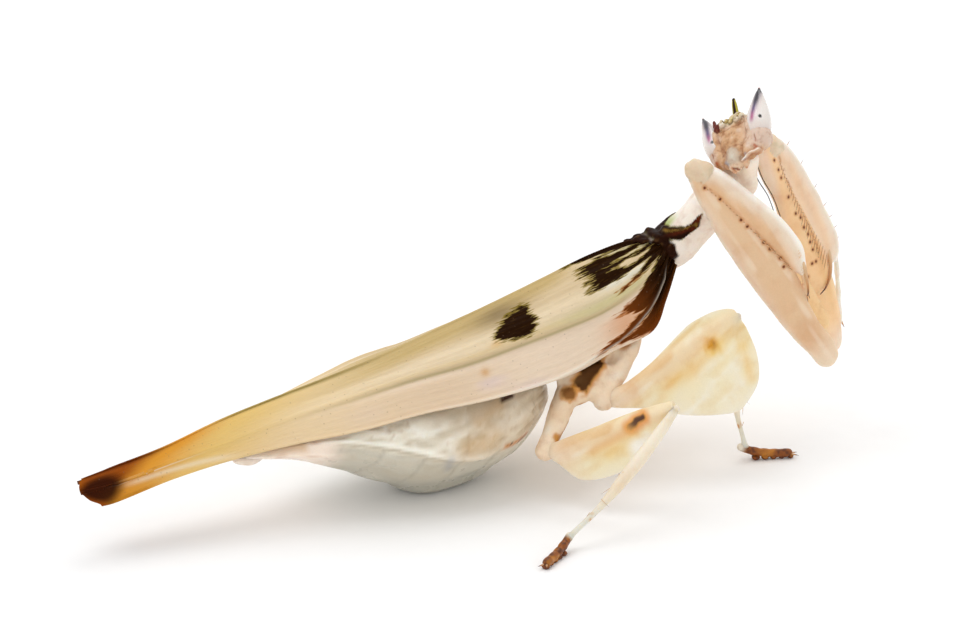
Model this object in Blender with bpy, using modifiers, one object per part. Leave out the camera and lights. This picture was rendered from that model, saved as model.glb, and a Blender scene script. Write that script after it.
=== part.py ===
"""Orchid mantis, adult female, as a still life-size model.

She rests on her belly with the wings folded, the neck raised, the head turned over her right
shoulder and both forelegs folded. X runs from tail to head, Y to her left, Z up. Shapes are
worked out in millimetres and turned to metres as each object is finished. The origin lies on
the floor, under the middle of the bounding box.
"""

import math

import bmesh
import bpy
from mathutils import Vector

MM = 0.001
GAP = 0.15
FLOOR_X = 3.23
FLOOR_Y = 1.36

LEFT = 1
RIGHT = -1
SIDE_NAME = {LEFT: "left", RIGHT: "right"}

# Wings: each row is crest x and z, ridge vein x, y, z, and front edge x, y, z.
WING_ROWS = [
    (18.5, 16.0, 18.4, 1.7, 15.6, 18.3, 2.8, 15.0),
    (17.4, 16.4, 17.2, 2.7, 15.0, 17.2, 3.8, 13.2),
    (15.5, 16.5, 15.6, 3.1, 14.2, 16.0, 4.2, 11.1),
    (12.6, 15.9, 12.6, 3.5, 13.1, 12.8, 4.8, 10.2),
    (9.5, 14.93, 9.5, 3.7, 12.5, 9.5, 5.2, 9.2),
    (6.0, 13.85, 6.0, 3.8, 11.9, 6.0, 5.6, 8.8),
    (1.5, 12.6, 1.5, 3.6, 11.0, 1.5, 5.9, 8.6),
    (-3.0, 11.3, -3.0, 3.1, 10.3, -3.0, 5.6, 8.4),
    (-7.5, 10.15, -7.5, 2.5, 9.3, -7.5, 4.5, 7.5),
    (-12.0, 9.1, -12.0, 1.9, 8.3, -12.0, 3.2, 6.9),
    (-16.5, 8.1, -16.5, 1.5, 7.2, -16.5, 2.1, 6.1),
    (-21.0, 7.1, -21.0, 1.25, 6.25, -21.0, 1.6, 5.3),
    (-25.0, 6.3, -25.0, 1.2, 5.45, -25.0, 1.4, 4.4),
    (-27.3, 5.85, -27.2, 1.0, 5.15, -26.5, 1.1, 4.1),
]
WING_STEPS = 2
WING_ACROSS = 6
WING_THICK = 0.5
RIDGE_SHARE = 0.56
SUTURE_GAP = 0.2
ROOF_POWER = 1.6
HINDWING_SINK = 0.7
HINDWING_REACH = 0.72
HINDWING_START = 0.24
HINDWING_SPAN = (3.5, 11.2)

# Abdomen: x, underside z, top z, half width.
ABDOMEN_ROWS = [
    (8.7, 6.0, 8.2, 1.3),
    (8.1, 3.9, 9.3, 3.3),
    (6.5, 1.7, 10.2, 4.9),
    (4.0, 0.4, 10.2, 5.8),
    (1.0, -0.12, 9.9, 6.1),
    (-1.5, -0.08, 9.4, 6.1),
    (-4.5, 1.1, 8.5, 5.6),
    (-8.0, 2.9, 7.6, 4.5),
    (-11.0, 4.1, 6.8, 3.4),
    (-14.0, 4.7, 6.0, 2.2),
    (-16.8, 5.0, 5.6, 1.2),
    (-17.6, 5.1, 5.5, 0.6),
]
THORAX_ROWS = [
    (9.1, 7.6, 10.8, 2.4),
    (10.6, 8.0, 11.8, 3.1),
    (13.0, 9.0, 13.0, 3.2),
    (15.4, 10.3, 14.5, 2.9),
    (17.3, 11.7, 15.2, 2.3),
    (18.4, 13.0, 15.3, 1.8),
]

# Prothorax: a column that leaves the thorax upwards and a little to her right.
PROTHORAX_REAR = Vector((19.9, 0.0, 15.3))
PROTHORAX_YAW = math.radians(28.0)
PROTHORAX_PITCH = math.radians(52.0)
# distance along the column, half width, back height, breast depth
PROTHORAX_ROWS = [
    (-0.7, 1.1, 0.7, 1.1),
    (-0.1, 1.85, 1.4, 1.5),
    (0.9, 1.9, 1.6, 1.7),
    (3.2, 1.65, 1.45, 1.7),
    (5.6, 2.1, 1.5, 1.8),
    (7.0, 2.2, 1.5, 1.7),
    (8.1, 1.5, 1.1, 1.2),
    (8.5, 0.9, 0.7, 0.8),
]

HEAD_CENTRE = Vector((23.7, -3.2, 24.1))
HEAD_LEFT = Vector((0.59, -0.57, 0.57))
HEAD_DOWN = Vector((-0.13, -0.76, -0.63))
# distance down the face, half width, back depth, front depth
HEAD_ROWS = [
    (-2.0, 0.8, 0.5, 0.45),
    (-1.6, 1.35, 0.9, 0.7),
    (-0.7, 1.85, 1.2, 1.0),
    (0.3, 2.15, 1.2, 1.15),
    (1.0, 1.6, 0.9, 1.25),
    (1.6, 0.95, 0.6, 1.2),
    (1.95, 0.55, 0.35, 1.0),
]
EYE_PLACE = (2.1, -0.75, -0.1)
EYE_SIZE = (0.95, 2.0, 1.15)
EYE_LEAN = math.radians(8.0)
EYE_TIP_PULL = 0.75
HORN_LENGTH = 2.0

# Forelegs: trochanter, knee and the two ends of the coxa.
FORE_TROCHANTER = {RIGHT: Vector((27.8, -9.2, 8.9)), LEFT: Vector((32.3, -3.0, 6.8))}
FORE_KNEE = {RIGHT: Vector((20.1, -3.4, 22.6)), LEFT: Vector((28.35, -0.7, 22.5))}
FORE_COXA = {
    RIGHT: (Vector((24.0, -4.3, 19.4)), Vector((27.3, -7.7, 10.6))),
    LEFT: (Vector((25.7, -1.3, 18.9)), Vector((30.9, -3.9, 8.9))),
}
FORE_OPEN_SIDE = {RIGHT: Vector((0.88, -0.47, 0.0)), LEFT: Vector((0.95, 0.3, 0.0))}
# share of the femur from trochanter to knee, back edge, spined edge, half thickness
FORE_FEMUR_ROWS = [
    (-0.045, -0.5, 0.1, 0.3),
    (-0.015, -1.0, 0.5, 0.5),
    (0.1, -1.3, 0.7, 0.7),
    (0.28, -1.4, 0.95, 0.75),
    (0.45, -1.5, 0.7, 0.75),
    (0.65, -1.6, 0.4, 0.7),
    (0.82, -1.5, 0.05, 0.65),
    (0.94, -1.55, -0.1, 0.6),
    (1.04, -1.4, -0.2, 0.5),
    (1.09, -1.05, -0.4, 0.35),
]
# share of the femur where it lies, inner edge, outer edge, half thickness
FORE_TIBIA_ROWS = [
    (1.06, -0.1, 0.5, 0.3),
    (1.0, -0.5, 1.05, 0.45),
    (0.86, -0.4, 1.8, 0.5),
    (0.73, -0.1, 2.5, 0.5),
    (0.6, 0.1, 3.1, 0.5),
    (0.5, 0.3, 3.25, 0.45),
    (0.42, 0.6, 2.95, 0.4),
    (0.34, 0.9, 2.0, 0.3),
    (0.26, 1.15, 1.45, 0.2),
]
FORE_TARSUS = {
    RIGHT: (Vector((26.8, -8.6, 16.9)), Vector((27.2, -9.6, 13.5))),
    LEFT: (Vector((33.5, -1.0, 14.2)), Vector((33.3, -2.5, 8.0))),
}

# Walking legs: coxa top, coxa end, knee, ankle and toe.
MID_LEG = {
    RIGHT: ((15.4, -3.1, 10.1), (11.5, -5.6, 6.7), (21.8, -7.0, 12.4), (23.0, -6.2, 0.9), (26.3, -7.6, 0.38)),
    LEFT: ((15.4, 3.1, 10.1), (11.5, 5.6, 6.7), (17.9, 14.3, 8.4), (15.6, 17.0, 0.9), (17.3, 19.6, 0.38)),
}
HIND_LEG = {
    RIGHT: ((10.2, -3.6, 8.5), (6.2, -6.6, 4.1), (13.8, -13.0, 8.8), (4.1, -14.5, 0.9), (1.0, -16.9, 0.38)),
    LEFT: ((10.2, 3.6, 8.5), (6.2, 6.6, 4.1), (13.1, 13.5, 7.2), (3.6, 16.4, 0.9), (0.8, 18.7, 0.38)),
}
MID_LOBE_FACE = Vector((-0.33, -0.84, 0.42))
HIND_LOBE_FACE = Vector((-0.71, -0.66, 0.23))
# share of the femur, crest above it, lobe below it, half thickness
MID_FEMUR_ROWS = [
    (-0.02, 0.3, 0.3, 0.3),
    (0.03, 0.65, 0.8, 0.6),
    (0.17, 0.45, 2.0, 0.65),
    (0.37, 0.7, 4.2, 0.62),
    (0.61, 1.35, 5.9, 0.58),
    (0.72, 1.45, 5.8, 0.52),
    (0.86, 1.2, 4.9, 0.48),
    (0.95, 0.8, 3.0, 0.45),
    (0.985, 0.4, 0.9, 0.35),
]
HIND_FEMUR_ROWS = [
    (-0.02, 0.3, 0.3, 0.3),
    (0.03, 0.6, 1.0, 0.6),
    (0.14, 0.65, 2.6, 0.62),
    (0.36, 0.65, 3.3, 0.6),
    (0.55, 0.7, 3.1, 0.55),
    (0.7, 0.7, 2.3, 0.5),
    (0.83, 0.6, 1.2, 0.48),
    (0.96, 0.45, 0.5, 0.4),
]
LOBE_EDGE_THICK = 0.25
TIBIA_START = 0.09
TARSUS_JOINTS = 7

ANTENNA_RADIUS = 0.25
ANTENNA_POINTS = {
    LEFT: [(25.4, -2.2, 24.7), (26.3, -1.9, 22.7), (26.4, -2.6, 20.9), (26.6, -3.4, 19.5), (26.9, -4.1, 18.1)],
    RIGHT: [(25.4, -0.9, 24.5), (26.3, -1.2, 22.5), (26.4, -1.9, 20.6), (26.6, -2.7, 19.3), (26.8, -3.4, 18.1)],
}

SEGMENTS_ROUND = 16
COLOURS = {
    "wing": (0.72, 0.65, 0.45),
    "membrane": (0.75, 0.66, 0.58),
    "belly": (0.70, 0.69, 0.61),
    "flesh": (0.74, 0.54, 0.40),
    "dark": (0.06, 0.02, 0.01),
    "eye": (0.72, 0.66, 0.69),
    "lobe": (0.87, 0.76, 0.55),
    "foot": (0.26, 0.06, 0.01),
}


def clear_scene():
    for thing in list(bpy.data.objects):
        bpy.data.objects.remove(thing, do_unlink=True)


def new_collection(name):
    group = bpy.data.collections.new(name)
    bpy.context.scene.collection.children.link(group)
    return group


def coloured(name, kind, roughness=0.45):
    material = bpy.data.materials.new(name)
    material.use_nodes = True
    shader = material.node_tree.nodes["Principled BSDF"]
    shader.inputs["Base Color"].default_value = (*COLOURS[kind], 1.0)
    shader.inputs["Roughness"].default_value = roughness
    shader.inputs["Metallic"].default_value = 0.0
    return material


def through(rows, steps):
    """Rows of numbers with more rows between them, on a smooth curve through all of them."""
    out = []
    last = len(rows) - 1
    for i in range(last):
        before, start, end, after = rows[max(i - 1, 0)], rows[i], rows[i + 1], rows[min(i + 2, last)]
        for k in range(steps):
            t = k / steps
            out.append(tuple(
                0.5 * (2 * b + (c - a) * t + (2 * a - 5 * b + 4 * c - d) * t * t + (3 * b - a - 3 * c + d) * t ** 3)
                for a, b, c, d in zip(before, start, end, after)
            ))
    out.append(tuple(float(value) for value in rows[last]))
    return out


def ring(centre, across, up, half_width, height, depth, sides, power=2.0):
    """A closed section round a centre, with its own height above it and depth below it."""
    points = []
    for i in range(sides):
        angle = math.tau * (i + 0.5) / sides
        c, s = math.cos(angle), math.sin(angle)
        wide = math.copysign(abs(c) ** (2.0 / power), c) * half_width
        tall = math.copysign(abs(s) ** (2.0 / power), s) * (height if s > 0 else depth)
        points.append(centre + across * wide + up * tall)
    return points


def loft(rings):
    """A closed skin over a row of rings that all have the same number of points."""
    mesh = bmesh.new()
    loops = [[mesh.verts.new(point) for point in points] for points in rings]
    count = len(loops[0])
    for near, far in zip(loops, loops[1:]):
        for i in range(count):
            j = (i + 1) % count
            mesh.faces.new((near[i], near[j], far[j], far[i]))
    mesh.faces.new(list(reversed(loops[0])))
    mesh.faces.new(loops[-1])
    bmesh.ops.recalc_face_normals(mesh, faces=mesh.faces)
    return mesh


def stand_flat(mesh):
    """Cuts off what is below the floor, which leaves a small flat to rest on."""
    geometry = mesh.verts[:] + mesh.edges[:] + mesh.faces[:]
    cut = bmesh.ops.bisect_plane(mesh, geom=geometry, plane_co=(0, 0, 0), plane_no=(0, 0, 1), clear_inner=True)
    edges = [item for item in cut["geom_cut"] if isinstance(item, bmesh.types.BMEdge)]
    bmesh.ops.contextual_create(mesh, geom=edges)
    bmesh.ops.recalc_face_normals(mesh, faces=mesh.faces)
    return mesh


def to_metres(mesh):
    for vertex in mesh.verts:
        vertex.co = (vertex.co - Vector((FLOOR_X, FLOOR_Y, 0.0))) * MM


def finish(name, mesh, kind, roughness=0.45):
    """The bmesh, worked out in millimetres, made a named object in metres."""
    to_metres(mesh)
    data = bpy.data.meshes.new(name)
    mesh.to_mesh(data)
    mesh.free()
    data.shade_smooth()
    data.materials.append(coloured(name, kind, roughness))
    thing = bpy.data.objects.new(name, data)
    PARTS.objects.link(thing)
    return thing


def carve(piece, *neighbours, gap=GAP):
    """Cuts the piece back so that it clears its neighbours by the gap."""
    for neighbour in neighbours:
        mesh = bmesh.new()
        mesh.from_mesh(neighbour.data)
        mesh.normal_update()
        moves = [(vertex, vertex.normal * gap * MM) for vertex in mesh.verts]
        for vertex, move in moves:
            vertex.co += move
        data = bpy.data.meshes.new("cutter")
        mesh.to_mesh(data)
        mesh.free()
        cutter = bpy.data.objects.new(f"cutter_{piece.name}_{neighbour.name}", data)
        cutter.hide_render = True
        cutter.display_type = "WIRE"
        CUTTERS.objects.link(cutter)
        cut = piece.modifiers.new("clear_" + neighbour.name, "BOOLEAN")
        cut.operation = "DIFFERENCE"
        cut.object = cutter


def limb(rows, hint, flat=1.0, sides=8, steps=1):
    """A rounded limb along rows of x, y, z and radius; flat squeezes it along the hint."""
    rows = through(rows, steps) if steps > 1 else rows
    centres = [Vector(row[:3]) for row in rows]
    radii = [row[3] for row in rows]
    rings = []
    for i, centre in enumerate(centres):
        along = (centres[min(i + 1, len(centres) - 1)] - centres[max(i - 1, 0)]).normalized()
        thin = (hint - along * hint.dot(along)).normalized()
        wide = along.cross(thin)
        radius = radii[i]
        if i == 0:
            for back, share in ((0.9, 0.4), (0.55, 0.8)):
                height = radius * share * flat
                rings.append(ring(centre - along * radius * back, wide, thin, radius * share, height, height, sides))
        rings.append(ring(centre, wide, thin, radius, radius * flat, radius * flat, sides))
        if i == len(centres) - 1:
            for ahead, share in ((0.55, 0.8), (0.9, 0.4)):
                height = radius * share * flat
                rings.append(ring(centre + along * radius * ahead, wide, thin, radius * share, height, height, sides))
    return loft(rings)


def blade(start, end, facing, rows, steps=2, edge=LOBE_EDGE_THICK):
    """A flat leaf along start to end; rows give share, upper edge, lower edge and half thickness."""
    along = (end - start).normalized()
    length = (end - start).length
    normal = (facing - along * facing.dot(along)).normalized()
    lower = along.cross(normal)
    if lower.z > 0:
        lower = -lower
    rings = []
    for share, crest, lobe, thick in through(rows, steps):
        centre = start + along * length * share
        rim = min(edge, thick * 0.6)
        rod = min(thick * 1.1, lobe * 0.8)
        profile = [(-crest, rim), (-crest * 0.4, thick), (rod, thick * 0.9), ((rod + lobe) / 2, rim * 1.15), (lobe, rim)]
        one = [centre + lower * down + normal * half for down, half in profile]
        other = [centre + lower * down - normal * half for down, half in reversed(profile)]
        rings.append(one + other)
    return loft(rings)


# ---- trunk -----------------------------------------------------------------

def trunk(name, rows, kind, sides=SEGMENTS_ROUND, power=2.15, steps=2, flat=False):
    rings = []
    for x, low, high, half in through(rows, steps):
        middle = Vector((x, 0.0, (low + high) / 2))
        tall = (high - low) / 2
        rings.append(ring(middle, Vector((0, 1, 0)), Vector((0, 0, 1)), half, tall, tall, sides, power))
    mesh = loft(rings)
    return finish(name, stand_flat(mesh) if flat else mesh, kind)


def prothorax_frame():
    ahead = Vector((math.cos(PROTHORAX_YAW), -math.sin(PROTHORAX_YAW), 0.0))
    axis = ahead * math.cos(PROTHORAX_PITCH) + Vector((0, 0, math.sin(PROTHORAX_PITCH)))
    back = Vector((0, 0, math.cos(PROTHORAX_PITCH))) - ahead * math.sin(PROTHORAX_PITCH)
    return axis, back, back.cross(axis)


def make_prothorax():
    axis, back, left = prothorax_frame()
    rings = []
    for distance, half, rise, breast in through(PROTHORAX_ROWS, 2):
        rings.append(ring(PROTHORAX_REAR + axis * distance, left, back, half, rise, breast, 10, 2.2))
    return finish("prothorax", loft(rings), "flesh")


# ---- head ------------------------------------------------------------------

def head_frame():
    left = HEAD_LEFT.normalized()
    down = (HEAD_DOWN - left * HEAD_DOWN.dot(left)).normalized()
    return left, down, down.cross(left)


def on_head(left_by, down_by, out_by):
    left, down, out = head_frame()
    return HEAD_CENTRE + left * left_by + down * down_by + out * out_by


def make_head():
    left, down, out = head_frame()
    rings = []
    for low, half, rear, front in through(HEAD_ROWS, 2):
        rings.append(ring(HEAD_CENTRE + down * low, left, out, half, front, rear, 12, 2.2))
    return finish("head", loft(rings), "flesh")


def make_eye(side):
    """A tall cone-like eye: a sphere whose top is drawn out to a small tip."""
    left, down, out = head_frame()
    mesh = bmesh.new()
    bmesh.ops.create_uvsphere(mesh, u_segments=10, v_segments=8, radius=1.0)
    place, drop, ahead = EYE_PLACE
    centre = on_head(place * side, drop, ahead)
    tall = (-down * math.cos(EYE_LEAN) + left * side * math.sin(EYE_LEAN)).normalized()
    wide = out.cross(tall)
    for vertex in mesh.verts:
        x, y, z = vertex.co
        taper = 1.0 - 0.3 * max(z, 0.0) ** 2
        reach = z * EYE_SIZE[1] + EYE_TIP_PULL * max(z, 0.0) ** 4
        vertex.co = centre + wide * x * EYE_SIZE[0] * taper + out * y * EYE_SIZE[2] * taper + tall * reach
    bmesh.ops.recalc_face_normals(mesh, faces=mesh.faces)
    return finish(f"eye_{SIDE_NAME[side]}", mesh, "eye", 0.15)


def make_horn():
    left, down, out = head_frame()
    base = on_head(0.0, -1.9, 0.0)
    tip = base - down * HORN_LENGTH - out * 0.5
    rows = [(*base, 0.5), (*base.lerp(tip, 0.45), 0.36), (*tip, 0.24)]
    return finish("vertex_horn", limb(rows, out, 0.8, 8), "dark")


def make_mouthparts():
    left, down, out = head_frame()
    top = on_head(0.0, 1.75, 0.55)
    tip = on_head(0.0, 2.5, 0.9)
    rows = [(*top, 0.6), (*top.lerp(tip, 0.5), 0.55), (*tip, 0.3)]
    return finish("mouthparts", limb(rows, out, 0.75, 8), "flesh")


def make_neck():
    axis, back, left = prothorax_frame()
    start = PROTHORAX_REAR + axis * 8.2
    end = on_head(0.0, -0.2, -0.7)
    rows = [(*start, 0.8), (*start.lerp(end, 0.5), 0.75), (*end, 0.75)]
    return finish("neck", limb(rows, left, 1.0, 8), "flesh")


def make_antenna(side):
    """A thread that passes behind the head and hangs down past the neck."""
    curve = bpy.data.curves.new(f"antenna_{SIDE_NAME[side]}", "CURVE")
    curve.dimensions = "3D"
    curve.bevel_depth = ANTENNA_RADIUS * MM
    curve.bevel_resolution = 1
    curve.use_fill_caps = True
    rows = through(ANTENNA_POINTS[side], 2)
    spline = curve.splines.new("POLY")
    spline.points.add(len(rows) - 1)
    for point, row in zip(spline.points, rows):
        point.co = (*((Vector(row) - Vector((FLOOR_X, FLOOR_Y, 0.0))) * MM), 1.0)
    guide = bpy.data.objects.new(curve.name + "_path", curve)
    bpy.context.scene.collection.objects.link(guide)
    found = bpy.data.meshes.new_from_object(guide.evaluated_get(bpy.context.evaluated_depsgraph_get()))
    bpy.data.objects.remove(guide, do_unlink=True)
    mesh = bmesh.new()
    mesh.from_mesh(found)
    bmesh.ops.remove_doubles(mesh, verts=mesh.verts, dist=0.00001)
    bmesh.ops.recalc_face_normals(mesh, faces=mesh.faces)
    found.materials.clear()
    mesh.to_mesh(found)
    mesh.free()
    found.name = curve.name
    found.materials.append(coloured(curve.name, "dark"))
    thing = bpy.data.objects.new(curve.name, found)
    PARTS.objects.link(thing)
    return thing


# ---- wings -----------------------------------------------------------------

def wing_point(row, across, side):
    """A place on the folded forewing: across is 0 at the suture, 1 at the front edge."""
    crest_x, crest_z, ridge_x, ridge_y, ridge_z, edge_x, edge_y, edge_z = row
    crest = Vector((crest_x, SUTURE_GAP, crest_z))
    ridge = Vector((ridge_x, ridge_y, ridge_z))
    edge = Vector((edge_x, edge_y, edge_z))
    if across <= RIDGE_SHARE:
        part = across / RIDGE_SHARE
        point = crest.lerp(ridge, part)
        point.z = crest.z + (ridge.z - crest.z) * part ** ROOF_POWER
    else:
        point = ridge.lerp(edge, (across - RIDGE_SHARE) / (1.0 - RIDGE_SHARE))
    return Vector((point.x, point.y * side, point.z))


def wing_sheet(name, side, rows, first, last, columns, sink, kind):
    """An open sheet of faces with Solidify, sunk under the forewing's surface."""
    mesh = bmesh.new()
    grid = []
    for row in rows:
        shares = [first + (last - first) * i / columns for i in range(columns + 1)]
        grid.append([mesh.verts.new(wing_point(row, share, side)) for share in shares])
    for near, far in zip(grid, grid[1:]):
        for i in range(columns):
            mesh.faces.new((near[i], near[i + 1], far[i + 1], far[i]))
    bmesh.ops.recalc_face_normals(mesh, faces=mesh.faces)
    if sum(face.normal.z for face in mesh.faces) < 0:
        bmesh.ops.reverse_faces(mesh, faces=mesh.faces)
    mesh.normal_update()
    moves = [(vertex, vertex.normal.copy()) for vertex in mesh.verts]
    for vertex, normal in moves:
        vertex.co -= normal * sink
    thing = finish(name, mesh, kind)
    shell = thing.modifiers.new("thickness", "SOLIDIFY")
    shell.thickness = WING_THICK * MM
    shell.offset = -1.0
    return thing


def make_tegmen(side):
    rows = through(WING_ROWS, WING_STEPS)
    return wing_sheet(f"tegmen_{SIDE_NAME[side]}", side, rows, 0.0, 1.0, WING_ACROSS, 0.0, "wing")


def make_hindwing(side):
    name = f"hindwing_{SIDE_NAME[side]}"
    begin, end = (int(row * WING_STEPS) for row in HINDWING_SPAN)
    rows = through(WING_ROWS, WING_STEPS)[begin:end]
    return wing_sheet(name, side, rows, HINDWING_START, HINDWING_REACH, WING_ACROSS - 3, HINDWING_SINK, "membrane")


def make_cercus(side):
    rows = [(-15.9, 1.0 * side, 5.2, 0.3), (-17.0, 0.95 * side, 5.1, 0.36), (-18.4, 0.8 * side, 5.0, 0.28)]
    return finish(f"cercus_{SIDE_NAME[side]}", limb(rows, Vector((0, 0, 1)), 1.0, 6), "flesh")


# ---- legs ------------------------------------------------------------------

def fore_frame(side):
    """The femur's own axes: along it, across to its spined edge, and through it."""
    start, end = FORE_TROCHANTER[side], FORE_KNEE[side]
    along = (end - start).normalized()
    across = (FORE_OPEN_SIDE[side] - along * FORE_OPEN_SIDE[side].dot(along)).normalized()
    return start, (end - start).length, along, across, along.cross(across)


def fore_blade(side, rows, power):
    start, length, along, across, through_it = fore_frame(side)
    rings = []
    for share, back_edge, front_edge, thick in through(rows, 2):
        centre = start + along * length * share + across * (back_edge + front_edge) / 2
        half = (front_edge - back_edge) / 2
        rings.append(ring(centre, across, through_it, half, thick, thick, 8, power))
    return loft(rings)


def make_foreleg(side):
    name = SIDE_NAME[side]
    femur = finish(f"fore_femur_{name}", fore_blade(side, FORE_FEMUR_ROWS, 2.0), "flesh")
    tibia = finish(f"fore_tibia_{name}", fore_blade(side, FORE_TIBIA_ROWS, 2.2), "flesh")
    carve(tibia, femur)
    top, bottom = FORE_COXA[side]
    rows = [(*top, 1.0), (*top.lerp(bottom, 0.35), 1.05), (*top.lerp(bottom, 0.75), 0.85), (*bottom, 0.7)]
    through_it = fore_frame(side)[4]
    coxa = finish(f"fore_coxa_{name}", limb(rows, through_it, 0.7, 8, 2), "flesh")
    carve(coxa, femur)
    ankle, toe = FORE_TARSUS[side]
    rows = [(*ankle, 0.26), (*ankle.lerp(toe, 0.5), 0.27), (*toe, 0.25)]
    tarsus = finish(f"fore_tarsus_{name}", limb(rows, through_it, 1.0, 6, 2), "flesh")
    carve(tarsus, tibia, femur)
    return coxa


def make_tarsus(name, ankle, toe):
    """Five short joints with pads, flat where they meet the floor."""
    rows = []
    for i in range(TARSUS_JOINTS):
        share = i / (TARSUS_JOINTS - 1)
        centre = ankle.lerp(toe, share)
        centre.z = 0.34 + (ankle.z - 0.34) * (1 - share) ** 3
        rows.append((*centre, 0.36 + 0.08 * (i % 2)))
    return finish(name, stand_flat(limb(rows, Vector((0, 0, 1)), 1.0, 6)), "foot")


def make_walking_leg(pair, side, points, facing, femur_rows, tibia_radii, body):
    name = SIDE_NAME[side]
    top, hip, knee, ankle, toe = (Vector(point) for point in points)
    face = Vector((facing.x, facing.y * -side, facing.z))
    rows = [(*top, 1.0), (*top.lerp(hip, 0.4), 1.1), (*hip, 0.85)]
    coxa = finish(f"{pair}_coxa_{name}", limb(rows, Vector((0, 0, 1)), 0.95, 8, 2), "flesh")
    carve(coxa, *body)
    start = hip + (knee - hip).normalized() * 0.5 + Vector((0, 0.3 * side, -0.3))
    femur = finish(f"{pair}_femur_{name}", blade(start, knee, face, femur_rows), "lobe")
    carve(femur, coxa)
    mid, end = tibia_radii
    rows = [
        (*knee.lerp(ankle, TIBIA_START), 0.42),
        (*knee.lerp(ankle, 0.45), mid),
        (*knee.lerp(ankle, 0.75), end),
        (*knee.lerp(ankle, 0.93), 0.3),
    ]
    tibia = finish(f"{pair}_tibia_{name}", limb(rows, face, 1.0, 7, 2), "lobe")
    carve(tibia, femur)
    make_tarsus(f"{pair}_tarsus_{name}", ankle.lerp(toe, 0.05), toe)


PARTS = None
CUTTERS = None


def build():
    global PARTS, CUTTERS
    clear_scene()
    PARTS = new_collection("orchid_mantis")
    CUTTERS = new_collection("cutters")

    prothorax = make_prothorax()
    thorax = trunk("thorax", THORAX_ROWS, "flesh", 14)
    carve(thorax, prothorax)
    abdomen = trunk("abdomen", ABDOMEN_ROWS, "belly", 16, 1.95, 2, True)
    carve(abdomen, thorax)

    head = make_head()
    horn = make_horn()
    mouthparts = make_mouthparts()
    carve(horn, head)
    carve(mouthparts, head)
    neck = make_neck()
    carve(neck, head, prothorax)
    for side in (LEFT, RIGHT):
        eye = make_eye(side)
        carve(head, eye)
        carve(prothorax, eye)
        make_antenna(side)
        make_tegmen(side)
        make_hindwing(side)
        carve(make_cercus(side), abdomen)
        carve(make_foreleg(side), prothorax)
        make_walking_leg("mid", side, MID_LEG[side], MID_LOBE_FACE, MID_FEMUR_ROWS, (0.45, 0.4), (thorax,))
        make_walking_leg("hind", side, HIND_LEG[side], HIND_LOBE_FACE, HIND_FEMUR_ROWS, (0.55, 0.38), (thorax, abdomen))


build()
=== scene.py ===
"""Looks of the orchid mantis: skin, wings with their markings, eyes, legs, spines and hairs.

Shapes are worked out in millimetres in the animal's own frame (x from tail to head, y to her left, z up,
y = 0 on the seam between the wings) and placed in the model's frame, in metres, as each piece is made.
"""

import itertools
import math

import bmesh
import bpy
import numpy as np
from mathutils import Matrix, Vector
from mathutils.kdtree import KDTree


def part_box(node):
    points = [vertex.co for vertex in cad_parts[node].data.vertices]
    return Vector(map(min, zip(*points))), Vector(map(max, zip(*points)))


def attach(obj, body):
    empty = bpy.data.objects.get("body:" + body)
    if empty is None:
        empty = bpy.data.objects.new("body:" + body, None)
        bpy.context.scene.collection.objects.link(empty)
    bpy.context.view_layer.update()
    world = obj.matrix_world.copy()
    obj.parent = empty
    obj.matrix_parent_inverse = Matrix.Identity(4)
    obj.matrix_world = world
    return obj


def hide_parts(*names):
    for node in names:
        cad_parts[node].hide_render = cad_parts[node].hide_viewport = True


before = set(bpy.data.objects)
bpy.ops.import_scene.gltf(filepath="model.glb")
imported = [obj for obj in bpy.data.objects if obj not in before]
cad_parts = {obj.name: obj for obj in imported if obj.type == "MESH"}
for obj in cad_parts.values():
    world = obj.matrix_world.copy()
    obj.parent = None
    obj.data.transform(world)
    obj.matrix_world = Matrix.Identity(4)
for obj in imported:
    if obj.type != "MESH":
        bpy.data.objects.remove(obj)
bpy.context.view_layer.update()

MM = 0.001
LEFT = 1
RIGHT = -1
SIDE_NAME = {LEFT: "left", RIGHT: "right"}
WING_TIP_X = -27.3


def animal_origin():
    """The frame's place of the animal's own origin, in mm, read from the wings' seam and tips."""
    left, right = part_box("tegmen_left"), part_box("tegmen_right")
    seam = (left[0].y + right[1].y) / 2 / MM
    return np.array((WING_TIP_X - right[0].x / MM, -seam, 0.0))


ORIGIN = animal_origin()


# ---- numbers ---------------------------------------------------------------

def unit(vector):
    vector = np.asarray(vector, float)
    return vector / np.linalg.norm(vector)


def through(rows, steps):
    """Rows of numbers with more rows between them, on a smooth curve through all of them."""
    rows = np.asarray(rows, float)
    last = len(rows) - 1
    out = []
    for i in range(last):
        a, b, c, d = rows[max(i - 1, 0)], rows[i], rows[i + 1], rows[min(i + 2, last)]
        for t in np.arange(steps) / steps:
            bend = (2 * a - 5 * b + 4 * c - d) * t * t + (3 * b - a - 3 * c + d) * t ** 3
            out.append(0.5 * (2 * b + (c - a) * t + bend))
    out.append(rows[last])
    return np.array(out)


def ease(low, high, x):
    """0 below low, 1 above high, smooth between; low may be the larger one."""
    t = np.clip((np.asarray(x, float) - low) / (high - low), 0.0, 1.0)
    return t * t * (3 - 2 * t)


def span(x, start, full, fade, end):
    """0 up to start, 1 from full to fade and 0 from end on, smooth between."""
    return ease(start, full, x) * ease(end, fade, x)


def hump(distance, width):
    """1 at no distance, falling smoothly to nothing about two widths away."""
    return np.exp(-(np.asarray(distance, float) / width) ** 2)


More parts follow.
